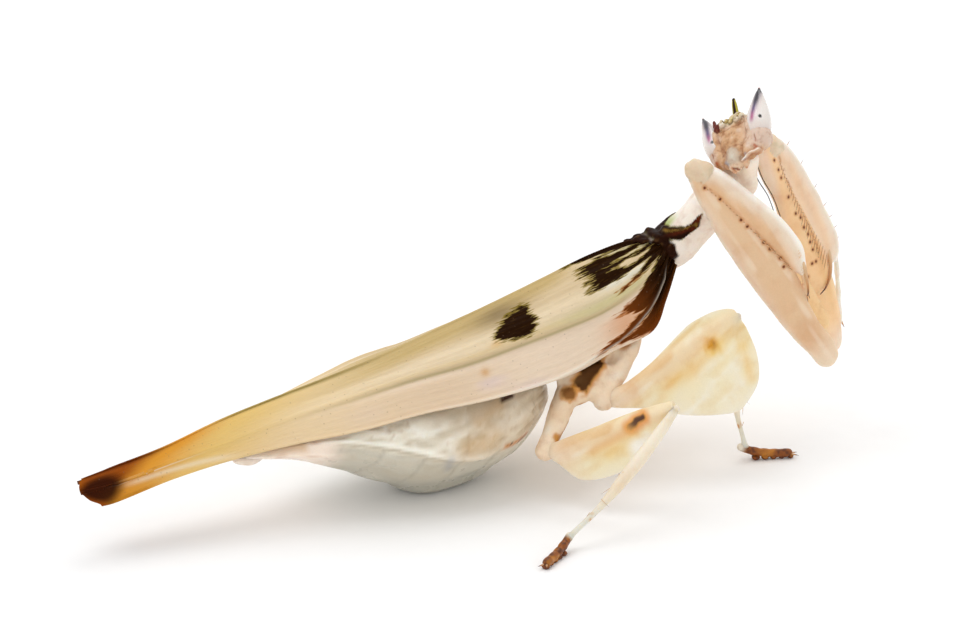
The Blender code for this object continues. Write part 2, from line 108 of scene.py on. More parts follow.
def lumps(points, size, seed=0):
    """Smooth random heights from -1 to 1, with lumps about size mm wide; size may be one per axis."""
    spot = np.asarray(points, float) / np.asarray(size, float) + 31.7 + 13.1 * seed
    cell = np.floor(spot).astype(np.int64)
    part = spot - cell
    part = part * part * (3 - 2 * part)
    total = np.zeros(len(spot))
    for corner in itertools.product((0, 1), repeat=3):
        x, y, z = (cell + np.array(corner)).T
        key = (x * 73856093) ^ (y * 19349663) ^ (z * 83492791) ^ (seed * 2654435)
        key = (key ^ (key >> 13)) * 1274126177 & 0xFFFFFFFF
        height = ((key ^ (key >> 16)) & 0xFFFF) / 32767.5 - 1.0
        share = np.where(np.array(corner) == 1, part, 1 - part).prod(axis=1)
        total += height * share
    return total


def to_line(points, line):
    """Distance from each point to a line of points."""
    best = np.full(len(points), 1e9)
    line = np.asarray(line, float)
    for start, end in zip(line, line[1:]):
        along = end - start
        share = np.clip((points - start) @ along / max(along @ along, 1e-12), 0, 1)
        best = np.minimum(best, np.linalg.norm(points - start - share[:, None] * along, axis=1))
    return best


def to_spot(points, spot):
    return np.linalg.norm(points - np.asarray(spot, float), axis=1)


def between(start, end, share):
    return tuple(np.asarray(start) + (np.asarray(end) - np.asarray(start)) * share)


def rod(start, end, *stops):
    """Rows for a tube from start to end; each stop is a share of the way and a radius."""
    return [(*between(start, end, share), radius) for share, radius in stops]


def read(table, x, column=1):
    """A table's value at x, from rows that each start with their own x."""
    table = np.array(sorted(table))
    return np.interp(x, table[:, 0], table[:, column])


def linear(code):
    """An sRGB hex colour as linear numbers."""
    values = np.array([int(code[i:i + 2], 16) for i in (1, 3, 5)]) / 255.0
    return np.where(values <= 0.04045, values / 12.92, ((values + 0.055) / 1.055) ** 2.4)


def flood(count, code):
    return np.tile(linear(code), (count, 1))


def paint(ground, code, mask):
    """One coat of colour over the ground colours, as far as the mask covers, from 0 to 1."""
    mask = np.clip(mask, 0.0, 1.0)[:, None]
    return ground * (1 - mask) + linear(code) * mask


def coats(ground, *rows):
    """Coats of colour one over another; each row is a colour and its mask."""
    for code, mask in rows:
        ground = paint(ground, code, mask)
    return ground


# ---- meshes ----------------------------------------------------------------

CAP_RINGS = 6  # rings in each round end of a tube


def part(grid, wrap=True, **fields):
    """A surface over a grid of points; rings close round, and each end closes to a point."""
    rows, columns = grid.shape[:2]
    ids = np.arange(rows * columns).reshape(rows, columns)
    closed = np.concatenate([ids, ids[:, :1]], axis=1) if wrap else ids
    quads = np.stack([closed[:-1, :-1], closed[:-1, 1:], closed[1:, 1:], closed[1:, :-1]], -1)
    faces = quads.reshape(-1, 4).tolist()
    points = grid.reshape(-1, 3)
    fields = {name: np.broadcast_to(values, (rows, columns)).reshape(-1) for name, values in fields.items()}
    if wrap:
        for row, turn in ((0, 1), (rows - 1, -1)):
            pole = len(points)
            points = np.vstack([points, grid[row].mean(axis=0)])
            fields = {name: np.append(v, v[ids[row]].mean()) for name, v in fields.items()}
            ring = closed[row][::turn]
            faces += [[int(b), int(a), pole] for a, b in zip(ring, ring[1:])]
    return {"points": points, "faces": faces, "fields": fields, "material": 0}


def joined(parts):
    """Parts made one, each face keeping its part's material; a field that a part lacks is 0 there."""
    points = np.vstack([one["points"] for one in parts])
    faces, slots, start = [], [], 0
    for one in parts:
        faces += [[start + i for i in face] for face in one["faces"]]
        slots += [one["material"]] * len(one["faces"])
        start += len(one["points"])
    fields = {}
    for name in sorted({name for one in parts for name in one["fields"]}):
        filled = [one["fields"].get(name, np.zeros(len(one["points"]))) for one in parts]
        fields[name] = np.concatenate(filled)
    return {"points": points, "faces": faces, "fields": fields, "slots": slots}


def put(name, data):
    """A new object in the scene."""
    thing = bpy.data.objects.new(name, data)
    bpy.context.scene.collection.objects.link(thing)
    return thing


def worked_in(thing):
    """The object's mesh with its modifiers worked in; the object itself goes."""
    mesh = bpy.data.meshes.new_from_object(thing.evaluated_get(bpy.context.evaluated_depsgraph_get()))
    bpy.data.objects.remove(thing, do_unlink=True)
    return mesh


def mesh_of(name, whole):
    """The joined parts as a mesh, still in mm, with normals outwards."""
    mesh = bpy.data.meshes.new(name)
    mesh.from_pydata(whole["points"].tolist(), [], whole["faces"])
    work = bmesh.new()
    work.from_mesh(mesh)
    bmesh.ops.recalc_face_normals(work, faces=work.faces)
    work.to_mesh(mesh)
    work.free()
    mesh.update()
    return mesh


def arrays(mesh):
    """Points, unit normals and faces of a mesh."""
    points = np.zeros(len(mesh.vertices) * 3)
    mesh.vertices.foreach_get("co", points)
    normals = np.zeros(len(mesh.vertices) * 3)
    mesh.vertex_normals.foreach_get("vector", normals)
    faces = [list(face.vertices) for face in mesh.polygons]
    return points.reshape(-1, 3), normals.reshape(-1, 3), faces


def grown_together(name, parts, voxel, rounds, material=0):
    """Closed parts made one skin with the creases between them softened."""
    thing = put(name, mesh_of(name, joined(parts)))
    remesh = thing.modifiers.new("one skin", "REMESH")
    remesh.mode = "VOXEL"
    remesh.voxel_size = voxel
    soften = thing.modifiers.new("soften", "SMOOTH")
    soften.factor = 0.5
    soften.iterations = rounds
    found = worked_in(thing)
    points, normals, faces = arrays(found)
    bpy.data.meshes.remove(found)
    return {"points": points, "faces": faces, "fields": {}, "material": material}, normals


def point_field(mesh, name, values, kind="FLOAT", member="value"):
    data = np.asarray(values, np.float32).reshape(-1)
    mesh.attributes.new(name, kind, "POINT").data.foreach_set(member, data)


def piece(name, whole, materials, nodes=(), ground=None, lay=None):
    """A finished mesh object in metres: it rides on the body, and stands for the CAD nodes named."""
    mesh = mesh_of(name, whole)
    for field, values in whole["fields"].items():
        point_field(mesh, field, values)
    if ground is not None:
        values = np.hstack([ground, np.ones((len(ground), 1))]).astype(np.float32)
        colours = mesh.color_attributes.new("ground", "FLOAT_COLOR", "POINT")
        colours.data.foreach_set("color", values.reshape(-1))
    if lay is not None:
        corners = np.zeros(len(mesh.loops), int)
        mesh.loops.foreach_get("vertex_index", corners)
        mesh.uv_layers.new(name="lay").data.foreach_set("uv", lay[corners].astype(np.float32).reshape(-1))
    for material in materials:
        mesh.materials.append(material)
    mesh.polygons.foreach_set("material_index", whole["slots"])
    return placed(name, mesh, nodes)


def placed(name, mesh, nodes=()):
    """A mesh in mm put in its place in metres, as an object that rides on the body."""
    mesh.transform(Matrix.Scale(MM, 4) @ Matrix.Translation(Vector(-ORIGIN)))
    mesh.shade_smooth()
    thing = put(name, mesh)
    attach(thing, "root")
    if nodes:
        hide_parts(*nodes)
    return thing


def rings(centres, across, over, wide, rise, sink, sides, power=2.0):
    """Closed sections round a row of centres, each with its own width, height and depth."""
    across, over = np.broadcast_to(across, centres.shape), np.broadcast_to(over, centres.shape)
    angle = math.tau * (np.arange(sides) + 0.5) / sides
    c, s = np.cos(angle), np.sin(angle)
    reach = np.sign(c) * np.abs(c) ** (2.0 / power)
    tall = np.sign(s) * np.abs(s) ** (2.0 / power)
    heights = np.where(tall > 0, rise[:, None], sink[:, None]) * tall
    wide = wide[:, None] * reach
    return centres[:, None] + across[:, None] * wide[..., None] + over[:, None] * heights[..., None], angle


def sections(rows, steps, sides, power):
    """Upright sections of a body, from rows of x, underside z, top z and half width."""
    rows = through(rows, steps)
    centres = np.stack([rows[:, 0], rows[:, 0] * 0, (rows[:, 1] + rows[:, 2]) / 2], 1)
    tall = (rows[:, 2] - rows[:, 1]) / 2
    grid, angle = rings(centres, (0, 1, 0), (0, 0, 1), rows[:, 3], tall, tall, sides, power)
    return rows, grid, angle


def lifted(grid, height, up=1.0):
    """A sheet moved along its normals by a height at each point; up is above 0 where they should rise."""
    normal = np.cross(np.gradient(grid, axis=0), np.gradient(grid, axis=1))
    normal /= np.linalg.norm(normal, axis=2)[..., None] + 1e-12
    if (normal[..., 2] * up).mean() < 0:
        normal = -normal
    return grid + normal * height[..., None]


def tube(rows, hint, sides=28, steps=8, flat=1.0):
    """A closed limb along rows of x, y, z and radius, squeezed along the hint, with round ends."""
    rows = through(rows, steps)
    centres, radii = rows[:, :3], rows[:, 3]
    along = np.gradient(centres, axis=0)
    along /= np.linalg.norm(along, axis=1)[:, None]
    hint = np.asarray(hint, float)
    over = hint - along * (along @ hint)[:, None]
    over /= np.linalg.norm(over, axis=1)[:, None]
    bow = np.radians(np.linspace(4, 90, CAP_RINGS + 1)[:-1])
    head = centres[0] - along[0] * radii[0] * np.cos(bow)[:, None]
    tail = (centres[-1] + along[-1] * radii[-1] * np.cos(bow)[:, None])[::-1]
    centres = np.vstack([head, centres, tail])
    radii = np.concatenate([radii[0] * np.sin(bow), radii, (radii[-1] * np.sin(bow))[::-1]])
    over, along = (np.pad(axis, ((CAP_RINGS, CAP_RINGS), (0, 0)), "edge") for axis in (over, along))
    grid, _ = rings(centres, np.cross(along, over), over, radii, radii * flat, radii * flat, sides)
    share = np.clip((np.arange(len(radii)) - CAP_RINGS) / (len(rows) - 1), 0, 1)[:, None]
    return part(grid, share=share)


def ball(centre, axes, radii, sides=28):
    """A closed egg with three half axes."""
    axes = [unit(axis) for axis in axes]
    polar = np.radians(np.linspace(3, 177, sides))
    angle = math.tau * np.arange(sides) / sides
    x = np.sin(polar)[:, None] * np.cos(angle)[None] * radii[0]
    y = np.sin(polar)[:, None] * np.sin(angle)[None] * radii[1]
    z = np.repeat(np.cos(polar)[:, None], sides, 1) * radii[2]
    grid = np.asarray(centre) + x[..., None] * axes[0] + y[..., None] * axes[1] + z[..., None] * axes[2]
    return part(grid)


# ---- materials -------------------------------------------------------------

SMOOTH = {"interpolation_type": "SMOOTHSTEP"}
COLOURS = {"data_type": "RGBA"}


def add(tree, kind, settings=None, inputs=None, out=0):
    """A node with its settings; an input is a number, a colour, or another node's socket.

    A kind that isn't named in full is a shader node's.
    """
    node = tree.nodes.new(kind if "Node" in kind else "ShaderNode" + kind)
    for name, value in (settings or {}).items():
        setattr(node, name, value)
    for key, value in (inputs or {}).items():
        socket = node.inputs[key]
        if isinstance(value, bpy.types.NodeSocket):
            tree.links.new(value, socket)
        elif isinstance(value, str) and value.startswith("#"):
            socket.default_value = (*linear(value), 1.0)
        else:
            socket.default_value = value
    return node.outputs[out]


def shaded(tree, colour, pattern, dark, bright, reach=1.0):
    """A colour made darker and lighter by a pattern that runs from 0 to reach."""
    light = add(tree, "MapRange", None, {"Value": pattern, "From Max": reach, "To Min": dark, "To Max": bright})
    return add(tree, "VectorMath", {"operation": "SCALE"}, {0: colour, "Scale": light})


def new_material(name, **shader_values):
    """A material with its shader's own sockets set, ready for a colour and a bump."""
    material = bpy.data.materials.new(name)
    material.use_nodes = True
    shader = material.node_tree.nodes["Principled BSDF"]
    for key, value in shader_values.items():
        shader.inputs[key.replace("_", " ").title().replace("Ior", "IOR")].default_value = value
    return material, material.node_tree, shader


def soaking(weight, spread, depth_mm):
    """Light that sinks into a skin: how much of it, how far its red, green and blue spread, and how deep."""
    return {"subsurface_weight": weight, "subsurface_radius": spread, "subsurface_scale": depth_mm * MM}


def cuticle(name, grain_mm, mottle_mm, bump, mottle="#B98A63", mottling=0.25, pits=0.0, **shader_values):
    """Insect cuticle: its own ground colours, mottled, with a fine grain and a soft waxy gloss."""
    material, tree, shader = new_material(name, **shader_values)
    place = add(tree, "TexCoord", out=3)
    ground = add(tree, "VertexColor", {"layer_name": "ground"})
    cloud = add(tree, "TexNoise", None, {"Vector": place, "Scale": 1 / (mottle_mm * MM), "Detail": 5.0})
    patch = add(tree, "MapRange", SMOOTH,
                {"Value": cloud, "From Min": 0.45, "From Max": 0.75, "To Max": mottling})
    tinted = add(tree, "Mix", {"data_type": "RGBA", "blend_type": "MULTIPLY"},
                 {0: patch, 6: ground, 7: mottle}, out=2)
    fine = add(tree, "TexNoise", None, {"Vector": place, "Scale": 1 / (grain_mm * MM), "Detail": 3.0})
    tree.links.new(shaded(tree, tinted, fine, 0.93, 1.05), shader.inputs["Base Color"])
    relief = add(tree, "Bump", None, {"Strength": bump, "Distance": grain_mm * MM * 0.5, "Height": fine})
    if pits:
        cells = add(tree, "TexVoronoi", {"feature": "SMOOTH_F1"},
                    {"Vector": place, "Scale": 1 / (pits * MM)})
        relief = add(tree, "Bump", None,
                     {"Strength": 0.25, "Distance": pits * MM * 0.2, "Height": cells, "Normal": relief})
    tree.links.new(relief, shader.inputs["Normal"])
    rough = shader.inputs["Roughness"].default_value
    gloss = add(tree, "MapRange", None, {"Value": cloud, "From Min": 0.3, "From Max": 0.7,
                                         "To Min": rough - 0.06, "To Max": rough + 0.08})
    tree.links.new(gloss, shader.inputs["Roughness"])
    return material


def wing_leather():
    """Forewing: leathery cream membrane, satin, with near-black streaks that end ragged and olive."""
    material, tree, shader = new_material("forewing leather, cream with dark base", roughness=0.4,
                                          specular_ior_level=0.03, **soaking(0.12, (1.0, 0.7, 0.4), 0.4))
    place = add(tree, "TexCoord", out=3)
    lay = add(tree, "UVMap", {"uv_map": "lay"})
    ground = add(tree, "VertexColor", {"layer_name": "ground"})
    fibre_lay = add(tree, "Mapping", None, {"Vector": lay, "Scale": (60.0, 420.0, 1.0)})
    fibre = add(tree, "TexNoise", None, {"Vector": fibre_lay, "Scale": 1.0, "Detail": 3.0})
    tooth_lay = add(tree, "Mapping", None, {"Vector": lay, "Scale": (55.0, 300.0, 1.0)})
    tooth = add(tree, "TexNoise", None, {"Vector": tooth_lay, "Scale": 1.0, "Detail": 4.0})
    dark = add(tree, "Attribute", {"attribute_name": "dark"}, out=2)
    jag = add(tree, "Math", {"operation": "MULTIPLY_ADD"}, {0: tooth, 1: 0.66, 2: -0.33})
    ragged = add(tree, "Math", {"operation": "ADD"}, {0: dark, 1: jag})
    inside = add(tree, "MapRange", SMOOTH,
                 {"Value": ragged, "From Min": -0.02, "From Max": 0.06})
    fringe = add(tree, "MapRange", SMOOTH,
                 {"Value": ragged, "From Min": -0.13, "From Max": -0.01, "To Max": 0.85})
    streaky = shaded(tree, ground, fibre, 0.9, 1.08)
    rust = add(tree, "Attribute", {"attribute_name": "rust"}, out=2)
    seam_tone = add(tree, "Mix", COLOURS, {0: rust, 6: "#7E6A10", 7: "#B06A2E"}, out=2)
    edged = add(tree, "Mix", COLOURS, {0: fringe, 6: streaky, 7: seam_tone}, out=2)
    deep = add(tree, "Mix", COLOURS, {0: rust, 6: "#241002", 7: "#6E360C"}, out=2)
    # lighter brown streaks along the fibres in the dark markings, where the fibre bump is highest
    fibre_streaks = add(tree, "MapRange", SMOOTH,
               {"Value": fibre, "From Min": 0.5, "From Max": 0.8, "To Max": 0.5})
    tone = add(tree, "Mix", COLOURS, {0: fibre_streaks, 6: deep, 7: "#50350C"}, out=2)
    marked = add(tree, "Mix", COLOURS, {0: inside, 6: edged, 7: tone}, out=2)
    vein = add(tree, "Attribute", {"attribute_name": "vein"}, out=2)
    veined = add(tree, "Mix", COLOURS, {0: vein, 6: marked, 7: "#A69A8C"}, out=2)
    specks = add(tree, "TexVoronoi", None, {"Vector": place, "Scale": 1 / (0.55 * MM)})
    dot = add(tree, "MapRange", SMOOTH,
              {"Value": specks, "From Min": 0.13, "From Max": 0.05, "To Max": 0.35})
    marked = add(tree, "Mix", COLOURS, {0: dot, 6: veined, 7: "#7A6450"}, out=2)
    tree.links.new(marked, shader.inputs["Base Color"])
    speck = add(tree, "TexNoise", None, {"Vector": place, "Scale": 1 / (0.18 * MM), "Detail": 2.0})
    both = add(tree, "Math", {"operation": "ADD"}, {0: fibre, 1: speck})
    relief = add(tree, "Bump", None, {"Strength": 0.3, "Distance": 0.00006, "Height": both})
    tree.links.new(relief, shader.inputs["Normal"])
    return material


def eye_cornea():
    """Compound eye: milky mauve, glassy, with a dark tip, a plum stripe and one dark pupil spot."""
    material, tree, shader = new_material("eye cornea, milky mauve", roughness=0.16, coat_weight=0.6,
                                          coat_roughness=0.08, **soaking(0.2, (1.0, 0.8, 0.8), 0.4))
    place = add(tree, "TexCoord", out=3)
    ground = add(tree, "VertexColor", {"layer_name": "ground"})
    facets = add(tree, "TexVoronoi", None, {"Vector": place, "Scale": 1 / (0.09 * MM)})
    tree.links.new(shaded(tree, ground, facets, 1.0, 0.93, 0.6), shader.inputs["Base Color"])
    relief = add(tree, "Bump", None, {"Strength": 0.12, "Distance": 0.00002, "Height": facets})
    tree.links.new(relief, shader.inputs["Normal"])
    return material


def spine_horn():
    """Spines, claws and hairs: clear straw-brown horn that darkens to near black at the tips."""
    material, tree, shader = new_material("spine horn, straw to black", roughness=0.3)
    tip = add(tree, "Attribute", {"attribute_name": "tip"}, out=2)
    tone = tree.nodes.new("ShaderNodeValToRGB")
    stops = ((0.0, "#E2C39B"), (0.45, "#C58A55"), (0.75, "#5A2A12"), (1.0, "#1C0B06"))
    tone.color_ramp.elements.new(0.45)
    tone.color_ramp.elements.new(0.75)
    for element, (position, code) in zip(tone.color_ramp.elements, stops):
        element.position = position
        element.color = (*linear(code), 1.0)
    tree.links.new(tip, tone.inputs["Fac"])
    place = add(tree, "TexCoord", out=3)
    fine = add(tree, "TexNoise", None, {"Vector": place, "Scale": 1 / (0.1 * MM)})
    tree.links.new(shaded(tree, tone.outputs["Color"], fine, 0.85, 1.1), shader.inputs["Base Color"])
    return material


def paper_floor():
    """Studio paper: matt white with the faintest tooth."""
    material, tree, shader = new_material("studio paper, white", roughness=0.9, specular_ior_level=0.1)
    place = add(tree, "TexCoord", out=3)
    tooth = add(tree, "TexNoise", None, {"Vector": place, "Scale": 1 / (1.5 * MM)})
    tone = add(tree, "Mix", COLOURS, {0: tooth, 6: "#FAFAFA", 7: "#FDFDFD"}, out=2)
    tree.links.new(tone, shader.inputs["Base Color"])
    return material


# ---- wings -----------------------------------------------------------------

# Each row is crest x and z, ridge vein x, y, z, and front edge x, y, z.
WING_ROWS = [
    (18.8, 16.55, 18.95, 1.55, 16.5, 19.0, 2.5, 15.1),
    (17.4, 16.6, 17.5, 2.6, 15.3, 17.8, 3.35, 12.9),
    (15.5, 16.5, 15.6, 3.1, 14.2, 16.2, 4.3, 11.0),
    (12.6, 15.9, 12.6, 3.5, 13.1, 12.8, 4.8, 10.2),
    (9.5, 14.93, 9.5, 3.7, 12.5, 9.5, 5.2, 9.2),
    (6.0, 13.85, 6.0, 3.8, 11.9, 6.0, 5.6, 8.8),
    (1.5, 12.6, 1.5, 3.6, 11.0, 1.5, 5.9, 8.6),
    (-3.0, 11.3, -3.0, 3.1, 10.3, -3.0, 5.6, 8.4),
    (-7.5, 10.28, -7.5, 2.5, 9.3, -7.5, 4.5, 7.5),
    (-12.0, 9.38, -12.0, 1.9, 8.3, -12.0, 3.2, 6.9),
    (-16.5, 8.4, -16.5, 1.5, 7.2, -16.5, 2.1, 6.1),
    (-21.0, 7.1, -21.0, 1.25, 6.25, -21.0, 1.6, 5.25),
    (-25.0, 6.3, -25.0, 1.2, 5.45, -25.0, 1.35, 4.2),
    (-27.3, 5.85, -27.3, 1.0, 5.15, -26.6, 1.15, 3.95),
]
WING_BASE_X = 18.5
WING_STEPS = 26
WING_COLUMNS = 110
RIDGE_SHARE = 0.56
SEAM_HALF = 0.05
LEFT_SAG = 0.5
ROOF_POWER = {LEFT: 1.05, RIGHT: 1.6}
FOREWING_THICK = 0.14
FOREWING_SINK = 0.12
HINDWING_THICK = 0.08
HINDWING_SINK = 0.75
HINDWING_ROOT = 7.5  # how far from the forewing's base the folded hindwing starts and ends
HINDWING_END = 41.5
WING_SPREAD = 9.0
LAY_SIZE = 50.0

# Dark streaks of the wing base: rows of distance from the base, share across the wing, half width.
STREAKS = [
    [(-1.0, 0.02, 0.5), (2.5, 0.025, 0.4), (5.5, 0.02, 0.3), (7.3, 0.0, 0.12)],
    [(0.5, 0.075, 0.12), (3.0, 0.085, 0.1), (5.2, 0.09, 0.05)],
    [(0.4, 0.09, 0.2), (1.6, 0.115, 0.13), (2.7, 0.165, 0.2), (3.9, 0.175, 0.36), (5.2, 0.18, 0.52),
     (6.7, 0.18, 0.42)],
    [(0.6, 0.19, 0.25), (1.7, 0.235, 0.12), (2.8, 0.25, 0.08), (4.3, 0.262, 0.2), (5.3, 0.268, 0.28),
     (6.2, 0.275, 0.2)],
    [(0.6, 0.29, 0.35), (1.9, 0.35, 0.15), (3.2, 0.37, 0.15), (4.2, 0.355, 0.4), (5.2, 0.345, 0.52),
     (6.4, 0.35, 0.45)],
    [(0.5, 0.37, 0.4), (1.6, 0.43, 0.2), (2.6, 0.475, 0.12), (3.4, 0.495, 0.07), (4.2, 0.51, 0.03)],
    [(-1.0, 0.66, 0.95), (0.8, 0.67, 0.85), (1.6, 0.68, 0.86), (2.6, 0.705, 0.7), (3.4, 0.72, 0.5),
     (4.1, 0.7, 0.28), (4.6, 0.7, 0.12)],
    [(-1.0, 0.93, 0.8), (1.0, 0.93, 0.8), (2.0, 0.93, 0.62), (3.0, 0.935, 0.5), (4.0, 0.945, 0.26),
     (5.6, 0.955, 0.1)],
    [(2.0, 0.8, 0.3), (3.5, 0.83, 0.28), (5.0, 0.91, 0.2), (6.8, 0.95, 0.12)],
]
ROOT_END = 0.9
END_FRAY = 0.2
# The same for the pale vein along the front edge, and the outline of the round dark spot.
PALE_VEIN = [(0.0, 0.72), (0.8, 0.81), (1.5, 0.82), (2.2, 0.82), (3.2, 0.84), (4.4, 0.9), (5.4, 0.945),
             (7.0, 0.96), (9.0, 0.97), (11.0, 0.985), (46.0, 0.99)]
EYESPOT = [(14.6, 0.44), (14.1, 0.35), (13.0, 0.26), (11.9, 0.205), (11.3, 0.23), (11.4, 0.33), (11.1, 0.42),
           (11.6, 0.5), (12.3, 0.53), (13.2, 0.52), (13.9, 0.48)]


def wing_grid(side, steps, columns, first=0.0, last=1.0):
    """Points of the folded forewing, with each row's distance from the base and each column's share."""
    rows = through(WING_ROWS, steps)
    share = np.linspace(first, last, columns)
    seam = np.full(len(rows), SEAM_HALF)
    crest = np.stack([rows[:, 0], seam, rows[:, 1]], 1)[:, None]
    ridge, edge = rows[:, None, 2:5], rows[:, None, 5:8]
    roof = np.clip(share / RIDGE_SHARE, 0, 1)[None, :, None]
    skirt = np.clip((share - RIDGE_SHARE) / (1 - RIDGE_SHARE), 0, 1)[None, :, None]
    grid = crest + (ridge - crest) * roof + (edge - ridge) * skirt
    drop = (ridge - crest)[..., 2] * (roof[..., 0] ** ROOF_POWER[side] - roof[..., 0])
    grid[..., 2] += drop
    if side == LEFT:
        grid[..., 2] -= LEFT_SAG * roof[..., 0] * span(rows[:, 0], -6, 0, 10, 14)[:, None]
    grid[..., 1] *= side
    distance = np.repeat((WING_BASE_X - rows[:, 0])[:, None], columns, 1)
    return grid, distance, np.repeat(share[None], len(rows), 0)


# Distance from the wing's base, and its width there.
WING_WIDTHS = ((0, 1.1, 3, 6, 9, 17, 22, 26, 30, 35, 40, 46),
               (3, 5.6, 7.4, 8, 8.2, 8, 7.2, 6, 4.6, 3.2, 2.6, 2.2))


def wing_width(distance):
    return np.interp(distance, *WING_WIDTHS)


def streak_depth(distance, share, rows):
    """How far inside a streak each point is, in mm; below 0 outside it."""
    across = np.abs(share - read(rows, distance)) * wing_width(distance)
    return np.minimum(read(rows, distance, 2) - across, (rows[-1][0] - distance) * END_FRAY)


def spot_depth(distance, share, outline):
    """How far inside a closed outline each point is, in mm; below 0 outside it."""
    points = np.stack([distance, share * wing_width(distance)], -1).reshape(-1, 2)
    corners = np.array([(x, c * wing_width(x)) for x, c in outline])
    inside = np.zeros(len(points), bool)
    nearest = np.full(len(points), 1e9)
    for a, b in zip(corners, np.roll(corners, -1, axis=0)):
        along = b - a
        t = np.clip((points - a) @ along / (along @ along), 0, 1)
        nearest = np.minimum(nearest, np.linalg.norm(points - a - t[:, None] * along, axis=1))
        crosses = (a[1] > points[:, 1]) != (b[1] > points[:, 1])
        rise = b[1] - a[1] if b[1] != a[1] else 1e-9
        inside ^= crosses & (points[:, 0] < along[0] * (points[:, 1] - a[1]) / rise + a[0])
    return np.where(inside, nearest, -nearest).reshape(distance.shape)


def dark_depth(distance, share):
    """How far inside any dark marking each point is; the markings fray along the wing at their ends."""
    depth = np.max([streak_depth(distance, share, rows) for rows in STREAKS], axis=0)
    depth = np.maximum(depth, (ROOT_END - distance) * END_FRAY)
    return np.maximum(depth, spot_depth(distance, share, EYESPOT) * 0.45)


def rust_share(distance, share):
    """Where the dark turns from olive black to red-brown: the shoulder and one streak's end."""
    shoulder = ease(0.57, 0.64, share) * ease(0.8, 4.6, distance + 2.0 * ease(0.9, 1.0, share))
    streak = hump(share - 0.49, 0.035) * span(distance, 1.6, 3.4, 5, 7)
    return np.clip(shoulder + streak * 0.8, 0, 1)


def pale_vein(distance, share):
    """Distance from the pale vein, in mm."""
    return np.abs(share - read(PALE_VEIN, distance)) * wing_width(distance)


def wing_relief(distance, share, dark):
    """Height of veins and folds over the wing, in mm."""
    flat = np.stack([distance, share * WING_SPREAD, distance * 0], -1).reshape(-1, 3)
    width = wing_width(distance)
    ridge = 0.2 * hump((share - RIDGE_SHARE) * width, 0.28) * ease(0.5, 3, distance)
    trough = -0.1 * hump((share - 0.49) * width, 0.35) - 0.12 * hump((share - 0.63) * width, 0.4)
    pleats = 0.0
    for k, middle in enumerate((0.09, 0.15, 0.215, 0.28, 0.34, 0.41, 0.47)):
        weave = 0.012 * np.sin(distance * 0.5 + k * 2.1)
        pleats = pleats + 0.045 * hump((share - middle - weave) * width, 0.16) * span(distance, 1, 4, 20, 34)
    for middle in (0.7, 0.78, 0.86, 0.92):
        pleats = pleats + 0.025 * hump((share - middle) * width, 0.12) * span(distance, 3, 7, 30, 40)
    vein = 0.16 * hump(pale_vein(distance, share), 0.13)
    sunk = -0.08 * ease(-0.1, 0.25, dark) * ease(9, 5, distance)
    rays = 0.09 * np.sin(share * 62 + 1.2) * ease(5.0, 1.2, distance)
    rays = rays + 0.16 * lumps(flat, (1.1, 0.35, 1), 7).reshape(distance.shape) * ease(2.6, 0.6, distance)
    crease = -0.09 * hump((share - np.interp(distance, [18, 30], [0.46, 0.3])) * width, 0.3)
    crease = crease * span(distance, 18, 21, 29, 34)
    waves = 0.05 * lumps(flat, (4.0, 1.6, 1), 3).reshape(distance.shape)
    fine = 0.012 * lumps(flat, (0.9, 0.22, 1), 4).reshape(distance.shape)
    calm = 1 - 0.75 * ease(22, 33, distance)
    return (ridge + trough + pleats + vein + crease + waves) * calm + sunk + rays + fine


